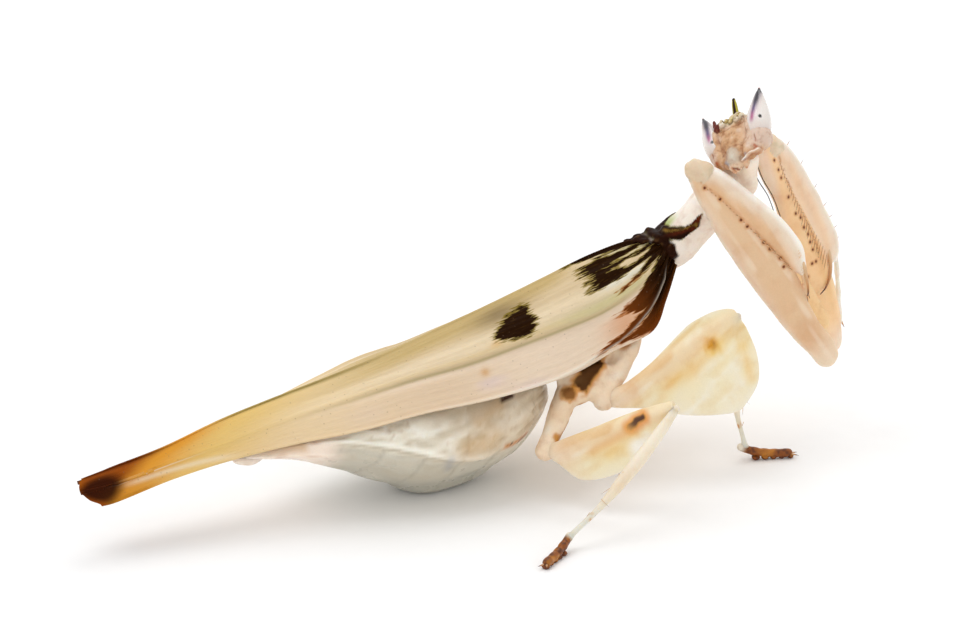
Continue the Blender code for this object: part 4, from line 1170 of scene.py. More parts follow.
def head_ground(points):
    place = head_place(points)
    u, v, n = place.T
    w = np.abs(u)
    flat, face = np.stack([u, v], 1), np.stack([w, v], 1)
    front = ease(-0.2, 0.4, n)
    cloud, blot, grain = lumps(points, 0.5, 61), lumps(points, 0.28, 63), lumps(points, 0.14, 62)
    ground = coats(
        flood(len(points), "#D6AC84"),
        ("#B07C4C", ease(0.0, 0.7, cloud + 0.3 * grain) * front * 0.65),
        ("#935A2E", ease(0.2, 0.8, blot + 0.3 * ease(0.2, -1.0, u)) * front * ease(1.6, 1.1, w) * 0.5),
        ("#EBD6C2", ease(-0.1, -0.8, cloud) * 0.5),
        ("#E6CFBC", ease(0.7, 1.3, u) * ease(1.6, 0.9, v) * 0.6),
        ("#DCC2B0", ease(1.35, 1.9, w) * ease(1.5, 0.9, v) * 0.85),
        ("#E6DCC0", ease(-1.1, -1.6, v) * 0.75),
        ("#D2BC5C", hump(to_line(face, [(0.0, -1.75), (0.5, -1.9)]), 0.26) * 0.75),
    )
    for spot in ((0.0, -1.62, 0.66), (0.42, -1.9, 0.48), (-0.42, -1.9, 0.48)):
        near = to_spot(place, spot)
        ground = coats(
            ground,
            ("#B08A22", hump(near, 0.2) * 0.9),
            ("#4A3208", hump(near - 0.24, 0.06) * 0.85),
            ("#F6EFC8", hump(near, 0.08) * 0.8),
        )
    for side in (LEFT, RIGHT):
        near = to_spot(place, (0.62 * side, -1.5, 0.98))
        ground = coats(
            ground,
            ("#F2EADA", hump(near, 0.24) * 0.9),
            ("#6B4A2C", hump(near - 0.34, 0.05) * 0.5),
        )
    lobe = to_line(place * (1, 1, 0.4), LEAF_LINE) + 0.05 * grain
    ground = coats(
        ground,
        ("#641B02", ease(0.36, 0.28, lobe + 0.12 * ease(-1.7, -1.2, v))),
        ("#5A1E0E", hump(to_spot(place * (1, 1, 0.4), (1.15, -1.5, 0.2)), 0.15) * 0.9),
    )
    for groove, _, width in FACE_GROOVES:
        ground = paint(ground, "#A2643F", hump(to_line(face, groove), width * 0.6) * front * 0.5)
    oval = np.hypot((u + 0.18) / 0.68, (v - 1.6) / 0.98) + 0.05 * grain
    shield = ease(1.2, 0.75, oval) * front
    jaw = to_line(flat, JAW_RIDGE)
    return coats(
        ground,
        ("#C4AE96", shield * 0.9),
        ("#D6CCBC", shield * hump(np.hypot(u + 0.1, (v - 1.5) * 0.5), 0.3) * 0.85),
        ("#6E3318", hump(to_spot(flat, (-0.95, 1.0)) + 0.05 * grain, 0.12) * 0.8),
        ("#9C5A34", hump(to_line(flat, [(-0.7, 1.2), (-0.72, 1.6)]) + 0.06 * grain, 0.07) * 0.7),
        ("#AEB0BA", hump(to_line(face, [(0.62, 1.9), (0.85, 1.6)]), 0.12) * 0.75),
        ("#B06A44", hump(jaw - 0.12, 0.04) * front * 0.6),
        # painted highlight: a white line along the jaw ridge
        ("#FFF6E8", hump(jaw, 0.05)),
        ("#B0552A", hump(to_spot(face, (1.7, 1.25)) + 0.1 * grain, 0.16) * 0.85),
        ("#A05E3E", hump(to_line(face, [(1.88, 0.45), (1.86, 0.95)]), 0.05) * 0.7),
        ("#E8C8A8", ease(1.9, 2.2, v) * 0.7),
        ("#C0703A", ease(0.1, 0.7, blot + grain) * ease(2.0, 2.3, v) * 0.7),
        ("#6A2208", hump(to_line(flat, [(-0.3, 2.35), (0.05, 2.5)]), 0.07) * 0.9),
    )


def eye_frame(side):
    centre = on_head(*EYE_PLACE[side])
    tall = unit(-HEAD_DOWN * math.cos(EYE_LEAN) + HEAD_LEFT * side * math.sin(EYE_LEAN))
    return centre, tall, unit(HEAD_LEFT * side - tall * (HEAD_LEFT * side @ tall))


# Place of the pupil spot on the head, and the stripe's angle round the eye at five heights up to the tip.
PUPIL = {LEFT: (2.57, -0.89, 0.67), RIGHT: (-1.63, -0.5, 0.9)}
EYE_STRIPE = {LEFT: (-3, 3, 6, 9, 20), RIGHT: (-8, -8, -11, -20, -40)}


def make_eye(side, cornea):
    """A tall cone of an eye that ends in a small nipple."""
    centre, tall, wide = eye_frame(side)
    polar = np.radians(np.linspace(1.5, 178.5, 84))[:, None]
    turn = (math.tau * np.arange(84) / 84)[None]
    z = np.cos(polar) + 0 * turn
    taper = 1.0 - 0.24 * np.clip(z, 0, 1) ** 2
    reach = z * EYE_SIZE[1] * np.where(z < 0, 0.8, 1.0) + EYE_TIP_PULL * np.clip(z, 0, 1) ** 4
    nipple = 0.16 * hump(1 - z, 0.012)
    w = np.sin(polar) * np.sin(turn) * taper
    y = np.sin(polar) * np.cos(turn) * taper
    grid = (centre + (w * EYE_SIZE[0])[..., None] * wide + (y * EYE_SIZE[2])[..., None] * HEAD_OUT
            + (reach + nipple)[..., None] * tall)
    whole = joined([part(grid)])
    points = whole["points"]
    count = len(points)
    level = (points - centre) @ tall / EYE_SIZE[1]
    sideways = (points - centre) @ wide / EYE_SIZE[0]
    ahead = (points - centre) @ HEAD_OUT / EYE_SIZE[2]
    azimuth = np.degrees(np.arctan2(sideways, ahead))
    middle = np.interp(level, [-0.2, 0.1, 0.4, 0.8, 1.3], EYE_STRIPE[side])
    reach = np.abs(azimuth - middle) * np.hypot(sideways, ahead) / 57.3 * EYE_SIZE[0]
    shown = ease(-0.2, 0.15, level)
    near = to_spot(head_place(points), PUPIL[side])
    ground = coats(
        flood(count, "#EFE6DE"),
        ("#F4EEE9", ease(0.0, 0.8, lumps(points, 0.8, 71)) * 0.6),
        ("#DEC8BE", ease(0.1, -0.5, level) * 0.7),
        ("#C9AEBC", hump(reach, 0.32) * shown * 0.6),
        ("#B8608A", hump(reach - 0.03, 0.13) * shown * ease(0.75, 0.25, level)),
        ("#564872", hump(reach, 0.16) * ease(0.1, 0.5, level)),
        ("#26222C", hump(reach, 0.2 + 0.06 * level) * ease(0.45, 0.9, level)),
        ("#2A272C", ease(1.12, 1.27, level) * 0.9),
        ("#E08A78", ease(1.38, 1.42, level)),
        ("#FBF6F2", hump(near, 0.24) * 0.8),
        ("#0E080A", ease(0.17, 0.11, near)),
    )
    piece(f"eye_cone_{SIDE_NAME[side]}", whole, [cornea], [f"eye_{SIDE_NAME[side]}"], ground)


def make_horn(dark):
    """The process on top of the head: a flattened dark blade with a yellow-green rim."""
    base, tip = on_head(0.28, -1.8, 0.0), on_head(0.2, -1.9 - HORN_LENGTH, -0.3)
    rows = rod(base, tip, (0, 0.4), (0.3, 0.27), (0.75, 0.21), (1, 0.13))
    whole = joined([tube(rows, HEAD_OUT, 32, 12, 0.6)])
    points, share = whole["points"], whole["fields"]["share"]
    middle = np.abs((points - base) @ HEAD_LEFT + 0.06 * share)
    front = ease(-0.05, 0.08, (points - base) @ HEAD_OUT + 0.45 * share)
    rim = np.interp(share, [0, 0.3, 1], [0.3, 0.2, 0.13]) - middle
    ground = coats(
        flood(len(points), "#2A1209"),
        ("#B2A63A", ease(0.09, 0.04, rim) * ease(1.0, 0.85, share)),
        ("#D9D0A0", (1 - front) * 0.7),
        ("#D9CDA2", ease(0.22, 0.05, share)),
    )
    piece("vertex_cone", whole, [dark], ["vertex_horn"], ground)


# The thread leaves its socket, passes over the crown beside the eye and hangs behind the head.
ANTENNA_FALL = {
    LEFT: [(25.0, -2.2, 24.7), (25.8, -1.8, 22.7), (26.1, -2.5, 20.9), (26.6, -3.4, 19.5), (26.9, -4.1, 18.1)],
    RIGHT: [(25.0, -0.9, 24.5), (25.8, -1.1, 22.5), (26.1, -1.8, 20.6), (26.6, -2.7, 19.3), (26.8, -3.4, 18.1)],
}


def make_antenna(side, dark):
    crown = [on_head(0.62 * side, -1.5, 0.9), on_head(0.68 * side, -1.9, 0.7), on_head(0.8 * side, -2.1, 0.2),
             on_head(0.75 * side, -1.7, -0.6)]
    path = [tuple(p) for p in crown] + ANTENNA_FALL[side]
    radii = np.interp(np.arange(len(path)), [0, 1, 3, len(path) - 1], [0.12, 0.08, 0.045, 0.03])
    rows = [(*point, radius) for point, radius in zip(path, radii)]
    whole = joined([tube(rows, (0.3, 1, 0.2), 12, 22)])
    share = whole["fields"]["share"]
    ground = paint(flood(len(share), "#D9C6A4"), "#1B1311", ease(0.2, 0.45, share))
    ring = 0.5 + 0.5 * np.sin(share * 260)
    ground = paint(ground, "#5A4638", ring * ease(0.35, 0.5, share) * 0.35)
    name = SIDE_NAME[side]
    piece(f"antenna_thread_{name}", whole, [dark], [f"antenna_{name}"], ground)


# ---- forelegs --------------------------------------------------------------

FORE_TROCHANTER = {RIGHT: np.array((27.8, -9.2, 8.9)), LEFT: np.array((32.3, -3.0, 6.8))}
FORE_KNEE = {RIGHT: np.array((20.1, -3.4, 22.6)), LEFT: np.array((28.35, -0.7, 22.5))}
FORE_OPEN_SIDE = {RIGHT: np.array((0.88, -0.47, 0.0)), LEFT: np.array((0.95, 0.3, 0.0))}
# share of the femur from trochanter to knee, back edge, spined edge, half thickness
FORE_FEMUR_ROWS = {
    RIGHT: [
        (-0.07, -0.25, 0.35, 0.25), (-0.04, -0.7, 1.0, 0.48), (0.03, -0.8, 1.2, 0.62), (0.13, -1.12, 1.1, 0.7),
        (0.22, -1.28, 1.25, 0.72), (0.34, -1.42, 1.7, 0.75), (0.46, -1.5, 1.72, 0.75), (0.57, -1.5, 1.38, 0.74),
        (0.71, -1.43, 0.92, 0.7), (0.84, -1.22, 0.46, 0.66), (0.92, -1.05, 0.08, 0.6), (1.0, -0.78, -0.1, 0.48),
        (1.04, -0.5, -0.2, 0.3),
    ],
    LEFT: [
        (-0.05, -0.35, 0.4, 0.25), (-0.02, -1.0, 0.9, 0.5), (0.1, -1.3, 1.4, 0.65), (0.28, -1.42, 1.7, 0.72),
        (0.4, -1.5, 1.6, 0.74), (0.5, -1.52, 1.2, 0.74), (0.65, -1.62, 0.6, 0.7), (0.76, -1.75, 0.1, 0.66),
        (0.86, -2.15, -0.2, 0.62), (0.95, -2.35, -0.4, 0.55), (1.02, -2.1, -0.5, 0.45), (1.06, -1.3, -0.6, 0.3),
    ],
}
# share of the femur where it lies, inner edge, outer edge, half thickness
FORE_TIBIA_ROWS = {
    RIGHT: [
        (1.04, -0.35, 0.5, 0.22), (1.0, -0.5, 0.95, 0.38), (0.96, -0.5, 1.3, 0.45), (0.88, -0.3, 1.88, 0.5),
        (0.72, 0.3, 2.7, 0.52), (0.63, 0.6, 3.15, 0.5), (0.52, 0.95, 3.35, 0.46), (0.45, 1.3, 3.28, 0.42),
        (0.39, 1.7, 2.85, 0.34), (0.35, 1.95, 2.5, 0.22),
    ],
    LEFT: [
        (1.04, -0.8, 0.0, 0.22), (1.0, -1.1, 0.55, 0.38), (0.95, -1.1, 1.05, 0.45), (0.88, -0.95, 1.55, 0.5),
        (0.76, -0.55, 2.15, 0.52), (0.64, 0.0, 2.7, 0.5), (0.54, 0.4, 3.1, 0.46), (0.45, 0.75, 3.3, 0.4),
        (0.38, 1.1, 3.05, 0.32), (0.34, 1.4, 2.5, 0.2),
    ],
}
# the wrinkled cap over the knee, in the same terms
KNEE_CAP_ROWS = {
    RIGHT: [(0.94, -0.6, 0.9, 0.4), (0.965, -0.85, 1.15, 0.62), (0.99, -0.9, 1.1, 0.68),
            (1.02, -0.82, 0.75, 0.58), (1.05, -0.45, 0.35, 0.3)],
    LEFT: [(0.95, -1.3, 0.3, 0.4), (0.97, -1.55, 0.6, 0.6), (1.0, -1.6, 0.5, 0.62), (1.035, -1.4, 0.1, 0.5),
           (1.06, -1.0, -0.4, 0.3)],
}
FORELEG_VOXEL = 0.075
TOOTH_SPACE = 0.42
FORE_TIBIA_BACK = {RIGHT: 0.04, LEFT: -0.12}
FORE_TARSUS = {
    RIGHT: ((26.4, -7.6, 16.8), (27.0, -8.2, 13.4)),
    LEFT: ((33.5, -1.0, 14.2), (33.3, -2.5, 8.0)),
}
# The line of small points between femur and tibia, and the larger dark-tipped ones, as share and across.
FORE_ROW_LINE = {
    RIGHT: [(0.95, -0.2), (0.92, -0.02), (0.84, 0.42), (0.71, 0.84), (0.57, 1.28), (0.46, 1.62), (0.4, 1.68)],
    LEFT: [(0.95, -0.55), (0.86, -0.45), (0.76, -0.25), (0.64, 0.2), (0.55, 0.45), (0.47, 0.5), (0.41, 0.3)],
}
FORE_DOTS = {
    RIGHT: [(0.92, -0.07), (0.84, 0.4), (0.71, 0.8), (0.67, 0.9), (0.57, 1.25), (0.53, 1.35), (0.47, 1.6),
            (0.43, 1.45)],
    LEFT: [(0.95, -0.58), (0.9, -0.5), (0.86, -0.5), (0.76, -0.35), (0.67, -0.1), (0.64, 0.22), (0.59, 0.24),
           (0.55, 0.45), (0.51, 0.45), (0.47, 0.5), (0.41, 0.5), (0.41, 0.1), (0.36, -0.55)],
}
# The long curved claw at the end of the tibia: share, across, through and radius.
FORE_HOOK = {
    RIGHT: [(0.42, 2.7, 0.0, 0.16), (0.37, 2.55, -0.2, 0.13), (0.31, 2.12, -0.4, 0.1),
            (0.275, 1.8, -0.55, 0.07), (0.262, 1.6, -0.6, 0.03)],
    LEFT: [(0.44, 1.95, -0.2, 0.2), (0.37, 1.65, -0.5, 0.15), (0.31, 1.0, -0.75, 0.11),
           (0.275, 0.1, -0.9, 0.07), (0.262, -0.7, -0.95, 0.03)],
}


def fore_frame(side):
    """The femur's own axes: along it, across to its spined edge, and through it."""
    start, end = FORE_TROCHANTER[side], FORE_KNEE[side]
    length = np.linalg.norm(end - start)
    along = (end - start) / length
    across = unit(FORE_OPEN_SIDE[side] - along * (FORE_OPEN_SIDE[side] @ along))
    return start, length, along, across, np.cross(along, across)


def on_fore(side, share, across_by, through_by=0.0):
    start, length, along, across, out = fore_frame(side)
    return start + along * length * share + across * across_by + out * through_by


def on_fore_skin(side, share, across_by):
    """The point of the femur's near face at a share along it and a distance across."""
    back, front, thick = (read(FORE_FEMUR_ROWS[side], share, column) for column in (1, 2, 3))
    spread = np.clip((across_by - (back + front) / 2) / ((front - back) / 2), -0.98, 0.98)
    return on_fore(side, share, across_by, -thick * math.sqrt(1 - spread ** 2))


def fore_blade(side, rows, steps, sides, power, teeth=0.0, through_by=0.0):
    """A flat limb; teeth adds small points along its back edge."""
    start, length, along, across, out = fore_frame(side)
    rows = through(rows, steps)
    share, back_edge, front_edge, thick = rows.T
    centres = start + along * (length * share)[:, None] + across * ((back_edge + front_edge) / 2)[:, None]
    centres = centres + out * through_by
    grid, angle = rings(centres, across, out, (front_edge - back_edge) / 2, thick, thick, sides, power)
    if teeth:
        saw = np.clip(np.cos(share * length * math.tau / TOOTH_SPACE), 0.2, 1) - 0.2
        edge = hump(np.degrees(np.abs(np.angle(np.exp(1j * (angle - math.pi))))), 14)
        grid -= across * (saw[:, None] * edge[None] * teeth)[..., None]
    return part(grid)


def foreleg_ground(side, points, kinds):
    start, length, along, across, out = fore_frame(side)
    local = points - start
    share, w, thick = local @ along / length, local @ across, local @ out
    lie = np.stack([share * length, w], 1)
    cloud, grain = lumps(points, 1.4, 81), lumps(points, 0.3, 82)
    strand = lumps(np.stack([share * length * 0.25, w, thick * 0], 1), 0.45, 84)
    femur, tibia, foot, cap = (kinds == k for k in range(4))
    rim = read(FORE_TIBIA_ROWS[side], share, 2) - w
    edge = w - read(FORE_FEMUR_ROWS[side], share)
    ground = coats(
        # painted light: the left leg's ground is lighter than the right's, to lift the shade it lies in
        flood(len(points), "#E4C29C" if side == RIGHT else "#F8DDBE"),
        ("#E9D0BC", ease(-0.4, -1.4, w) * 0.5),
        ("#DDAE80", ease(0.0, 0.8, cloud) * 0.2),
        ("#F3E0C8", ease(0.0, 0.7, strand) * 0.5),
        ("#EFE0CA", ease(0.12, -0.04, share) * 0.5),
        ("#EDDECA", tibia * ease(1.5, 0.3, rim) * 0.95),
        ("#FDF8F0", tibia * ease(0.5, 0.05, rim) * 0.9),
        ("#E8C194", tibia * hump(rim - 1.6, 0.5) * 0.45),
        ("#F2E2CE", femur * ease(0.35, 0.0, edge) * 0.7),
    )
    if side == LEFT:
        inner = femur * ease(-1.9, -1.2, w) * ease(0.0, 0.12, share)
        ground = coats(
            ground,
            ("#F8D09A", inner * 0.8),
            ("#E9B570", inner * hump(w - 0.5, 0.5) * ease(0.05, 0.3, share) * 0.5),
        )
    else:
        crease = to_line(lie, [(share_at * length, by) for share_at, by in FORE_ROW_LINE[RIGHT]])
        ground = coats(
            ground,
            ("#D69A66", hump(crease + 0.08 * grain, 0.13) * ease(1.0, 0.85, share) * 0.55),
            ("#E3B688", hump(crease + 0.1 * grain, 0.45) * ease(1.0, 0.8, share) * 0.4),
        )
    line = to_line(lie, [(share_at * length, by) for share_at, by in FORE_ROW_LINE[side]])
    ground = coats(
        ground,
        ("#DCCFB6", cap * 0.6),
        ("#C8BC98", cap * ease(0.0, 0.6, grain) * 0.4),
        ("#C58650", hump(line, 0.1) * ease(0.0, 0.35, grain) * ease(0.2, -0.1, thick) * 0.7),
    )
    for share_at, by in FORE_DOTS[side]:
        near = to_spot(lie, (share_at * length, by - (0.1 if side == RIGHT else 0.55)))
        ground = coats(
            ground,
            ("#D08A48", ease(0.3, 0.12, near) * ease(0.2, -0.1, thick) * 0.6),
            ("#6A2E0A", ease(0.13, 0.08, near) * ease(0.2, -0.1, thick)),
        )
    return coats(
        ground,
        ("#EFE9DC" if side == LEFT else "#E6C49C", foot * 0.9),
        ("#A87442", foot * ease(0.3, 0.8, grain) * 0.35),
    )


def fore_foot(side):
    """Five slim joints, each a little wider at its far end."""
    ankle, toe = (np.array(p) for p in FORE_TARSUS[side])
    rows = []
    for i, share in enumerate(np.linspace(0, 1, 13)):
        swell = 0.18 + 0.02 * (i % 3 == 2) - 0.025 * (i % 3 == 0)
        rows.append((*between(ankle, toe, share), swell))
    return tube(rows, fore_frame(side)[4], 16, 5)


def make_foreleg(side, skin):
    """Femur, tibia, knee cap and foot of a grasping leg in one skin."""
    parts = [fore_blade(side, FORE_FEMUR_ROWS[side], 26, 56, 2.0, teeth=0.05),
             fore_blade(side, FORE_TIBIA_ROWS[side], 20, 48, 2.1, through_by=FORE_TIBIA_BACK[side]),
             fore_foot(side), fore_blade(side, KNEE_CAP_ROWS[side], 20, 56, 2.1)]
    source = np.vstack([one["points"] for one in parts])
    kinds = np.concatenate([np.full(len(one["points"]), k) for k, one in enumerate(parts)])
    name = SIDE_NAME[side]
    grown, normals = grown_together(f"foreleg_{name}", parts, FORELEG_VOXEL, 16)
    tree = KDTree(len(source))
    for k, point in enumerate(source):
        tree.insert(point, k)
    tree.balance()
    points = grown["points"]
    kinds = kinds[[tree.find(point)[1] for point in points]]
    frill = lumps(points, 0.55, 85) * (kinds == 3)
    height = 0.03 + 0.05 * lumps(points, (1.2, 1.2, 1.2), 83) * (kinds < 2) + 0.12 * frill
    grown["points"] = points + normals * height[:, None]
    piece(f"foreleg_{name}", joined([grown]), [skin],
          [f"fore_femur_{name}", f"fore_tibia_{name}", f"fore_tarsus_{name}"],
          foreleg_ground(side, grown["points"], kinds))


# ---- walking legs ----------------------------------------------------------

MID_LOBE_FACE = np.array((-0.33, -0.84, 0.42))
HIND_LOBE_FACE = np.array((-0.71, -0.66, 0.23))
# share of the femur, crest above it, lobe below it, half thickness
MID_FEMUR_ROWS = [
    (-0.02, 0.3, 0.3, 0.3),
    (0.03, 0.65, 0.8, 0.6),
    (0.17, 0.45, 2.0, 0.6),
    (0.37, 0.6, 4.2, 0.56),
    (0.61, 1.15, 5.9, 0.5),
    (0.72, 1.3, 5.85, 0.46),
    (0.86, 1.1, 5.0, 0.42),
    (0.95, 0.7, 3.3, 0.38),
    (0.99, 0.3, 1.3, 0.3),
]
HIND_FEMUR_ROWS = [
    (-0.02, 0.3, 0.3, 0.3),
    (0.03, 0.6, 1.0, 0.6),
    (0.14, 0.65, 2.6, 0.62),
    (0.36, 0.65, 3.1, 0.56),
    (0.55, 0.7, 2.8, 0.5),
    (0.7, 0.7, 2.1, 0.46),
    (0.83, 0.6, 1.2, 0.45),
    (0.96, 0.45, 0.5, 0.4),
]
LOBE_RIM = 0.11
MID_BOW = (-0.55, 0.0, 0.0)
HIND_BOW = (0.25, 0.0, -0.35)


def leg_frame(side, points, facing):
    """The femur's root and length, and its axes along, down its lobe and out of the lobe's face."""
    hip, knee = np.array(points[1]), np.array(points[2])
    start = hip + unit(knee - hip) * 0.35 + np.array((0, 0.25 * side, -0.2))
    length = np.linalg.norm(knee - start)
    along = (knee - start) / length
    face = np.array((facing[0], facing[1] * -side, facing[2]))
    normal = unit(face - along * (face @ along))
    lower = np.cross(along, normal)
    if lower[2] > 0:
        lower = -lower
    return start, length, along, lower, normal


def femur_part(side, points, facing, rows):
    """A femur with its flat petal lobe: a rod along the top, thinning out to a fine rim."""
    start, length, along, lower, normal = leg_frame(side, points, facing)
    rows = through(rows, 16)
    share, crest, lobe, thick = rows.T
    turn = math.tau * (np.arange(72) + 0.5) / 72
    middle, half = (lobe - crest) / 2, (lobe + crest) / 2
    down = middle[:, None] + half[:, None] * np.cos(turn)[None]
    rod = hump(down / np.maximum(thick, 0.2)[:, None] / 1.25, 1.0)
    body = LOBE_RIM + (thick[:, None] - LOBE_RIM) * rod
    vein = 0.03 * np.cos(down * 2.2 + share[:, None] * 26)
    vein = vein * ease(0.9, 1.8, down) * ease(0, 1.2, lobe[:, None] - down)
    rounding = np.abs(np.sin(turn))[None] ** 0.55
    reach = (body + vein) * np.sign(np.sin(turn))[None] * rounding
    ripple = 0.1 * np.sin(share * 7.0 + 1.0)[:, None] * ease(1.0, 5.0, down)
    grid = (start + along * (length * share)[:, None, None] + lower * down[..., None]
            + normal * (reach + ripple)[..., None])
    return part(grid, share=share[:, None] + 0 * turn[None], down=down)


def shin_part(points, facing, radii, bow):
    """A slim tibia with a bow, flat and wide above, thin below, with a cuff at the ankle."""
    knee, ankle = np.array(points[2]), np.array(points[3])
    stops = ((0.03, 0.26, 0.0), (0.07, 0.32, 0.15), (0.22, radii[0] * 0.9, 0.6), (0.42, radii[0], 0.9),
             (0.56, radii[0] * 0.85, 1.0), (0.68, radii[1], 1.0), (0.78, radii[1] * 0.72, 0.8),
             (0.9, radii[1] * 0.66, 0.3), (0.955, 0.22, 0.1), (0.985, 0.3, 0.0))
    rows = [(*(np.array(between(knee, ankle, s)) + np.array(bow) * b), r) for s, r, b in stops]
    return tube(rows, facing, 26, 8, 0.8)


def foot_part(ankle, toe):
    """Five joints, each with a soft pad underneath that lies on the floor."""
    rows = []
    for i, share in enumerate(np.linspace(-0.1, 0.94, 16)):
        centre = np.array(between(ankle, toe, share))
        centre[2] = 0.42 + (ankle[2] - 0.42) * max(1 - share, 0.0) ** 3
        swell = 0.29 + 0.045 * abs(math.sin(math.pi * (i + 0.4) / 3.2)) * (share > 0.05)
        rows.append((*centre, swell))
    parts = [tube(rows, (0, 0, 1), 26, 5)]
    ahead = unit((toe - ankle) * (1, 1, 0))
    sideways = np.cross((0, 0, 1), ahead)
    for share, size in ((0.2, 0.3), (0.4, 0.28), (0.58, 0.25), (0.76, 0.22), (0.95, 0.24)):
        centre = np.array(between(ankle, toe, share)) * (1, 1, 0) + (0, 0, 0.2) + ahead * 0.12
        pad = ball(centre, (ahead, sideways, (0, 0, 1)), (size * 1.05, size * 1.35, 0.22), 16)
        pad["fields"] = {"share": np.full(len(pad["points"]), share)}
        parts.append(pad)
    return parts


def leg_ground(points, share, down, shin, pair):
    """Cream petal lobes with a warm line under the rod and one rust spot near the knee."""
    cloud, grain = lumps(points, 2.2, 91), lumps(points, 0.26, 92)
    lie = np.stack([share * 11.5, down], 1)
    strand = lumps(np.stack([lie[:, 0] * 0.2, down + lie[:, 0] * 0.12, 0 * down], 1), 0.5, 93)
    ground = coats(
        flood(len(points), "#EFDFBE"),
        ("#EBCDA4", hump(down - 0.2, 1.0) * 0.45),
        ("#F0E3C8", ease(2.0, 4.2, down) * 0.7),
        ("#F9F3E6", ease(0.2, 0.8, strand) * 0.4),
        ("#DDB372", ease(-0.3, -0.8, strand) * ease(3.6, 0.8, down) * 0.55),
        ("#EED7C0", ease(0.3, 0.05, share) * 0.6),
    )
    if pair == "mid":
        spot = np.hypot((share - 0.745) * 11.8, down - 0.95) + 0.14 * grain + 0.1 * strand
        band = to_line(lie, [(8.6, 1.2), (6.4, 1.5), (4.6, 1.4)]) + 0.2 * cloud
        fall = to_line(lie, [(10.4, 2.2), (9.6, 4.4)]) + 0.2 * cloud
        ground = coats(
            ground,
            ("#E2A950", hump(band, 0.6) * 0.5),
            ("#E9B564", hump(fall, 0.55) * 0.5),
            ("#EEB83C", hump(spot, 0.7) * 0.85),
            ("#C88C04", hump(spot + 0.15 * grain, 0.42)),
            ("#6E4200", ease(-0.1, 0.2, grain) * hump(spot, 0.3)),
        )
    else:
        line = to_line(lie, [(7.1, 0.25), (7.8, 0.0), (8.4, -0.12)]) + 0.06 * grain
        trail = to_line(lie, [(3.4, 1.0), (7.0, 0.5)]) + 0.15 * cloud
        ground = coats(
            ground,
            ("#E09420", ease(0.9, 0.2, line) * 0.9),
            ("#3E1600", ease(0.3, 0.14, line) * ease(6.4, 7.4, lie[:, 0]) * 0.95),
            ("#E6B060", hump(trail, 0.45) * 0.55),
            ("#E9BE78", hump(to_line(lie, [(4.6, 1.7), (7.2, 1.2)]), 0.5) * 0.5),
            # pale lower edge of the hind lobe near the tibia, partly a painted highlight
            ("#FDFBF4", ease(0.9, 1.6, down) * ease(0.5, 0.62, share) * 0.8),
        )
    ring = hump(np.where(shin > 0, shin, 9) - 0.7, 0.02)
    pale = coats(
        paint(flood(len(points), "#E6D6C0"), "#D6D4C8", ease(0.5, 0.75, shin)),
        ("#F4ECDC", hump(shin - 0.25, 0.15) * 0.5),
        ("#C9B48E", hump(shin - 0.06, 0.03) * 0.5),
        ("#C9B8A0", ease(0.1, 0.7, strand) * 0.25),
        ("#B9731C", ring * ease(-0.1, 0.4, grain) * 0.9),
        ("#B98A50", ease(0.95, 0.99, shin) * 0.6),
    )
    return np.where((shin >= 0)[:, None], pale, ground)


def foot_ground(points, share):
    grain, cloud = lumps(points, 0.2, 95), lumps(points, 0.5, 96)
    return coats(
        flood(len(points), "#8E4C10"),
        ("#4A2006", ease(-0.2, 0.5, grain) * 0.75),
        ("#C27C22", ease(0.1, -0.6, cloud) * 0.8),
        ("#5A2408", ease(0.35, 0.1, points[:, 2]) * 0.6),
        ("#EDE4D2", ease(0.12, 0.0, share)),
    )


# joints of both sides, the way the lobe faces, femur, the shin's radii, and its bow
WALKING_LEGS = {
    "mid": (MID_LEG, MID_LOBE_FACE, MID_FEMUR_ROWS, (0.34, 0.26), MID_BOW),
    "hind": (HIND_LEG, HIND_LOBE_FACE, HIND_FEMUR_ROWS, (0.5, 0.3), HIND_BOW),
}


def make_walking_leg(pair, side, lobe_skin, foot_skin):
    """Femur with its lobe and shin as one piece, and the foot as another."""
    joints, facing, femur_rows, radii, bow = WALKING_LEGS[pair]
    points, name = joints[side], SIDE_NAME[side]
    femur = femur_part(side, points, facing, femur_rows)
    shin = shin_part(points, np.array((facing[0], facing[1] * -side, facing[2])), radii, bow)
    femur["fields"]["shin"] = np.full(len(femur["points"]), -1.0)
    shin["fields"] = {"shin": shin["fields"]["share"], "share": shin["fields"]["share"] * 0,
                      "down": shin["fields"]["share"] * 0}
    whole = joined([femur, shin])
    fields = whole["fields"]
    ground = leg_ground(whole["points"], fields["share"], fields["down"], fields["shin"], pair)
    whole["fields"] = {}
    piece(f"{pair}_leg_{name}", whole, [lobe_skin],
          [f"{pair}_femur_{name}", f"{pair}_tibia_{name}"], ground)
    whole = joined(foot_part(np.array(points[3]), np.array(points[4])))
    whole["points"][:, 2] = np.maximum(whole["points"][:, 2], 0.0)
    ground = foot_ground(whole["points"], whole["fields"]["share"])
    whole["fields"] = {}
    piece(f"{pair}_foot_{name}", whole, [foot_skin], [f"{pair}_tarsus_{name}"], ground)


# ---- spines, claws and hairs ----------------------------------------------

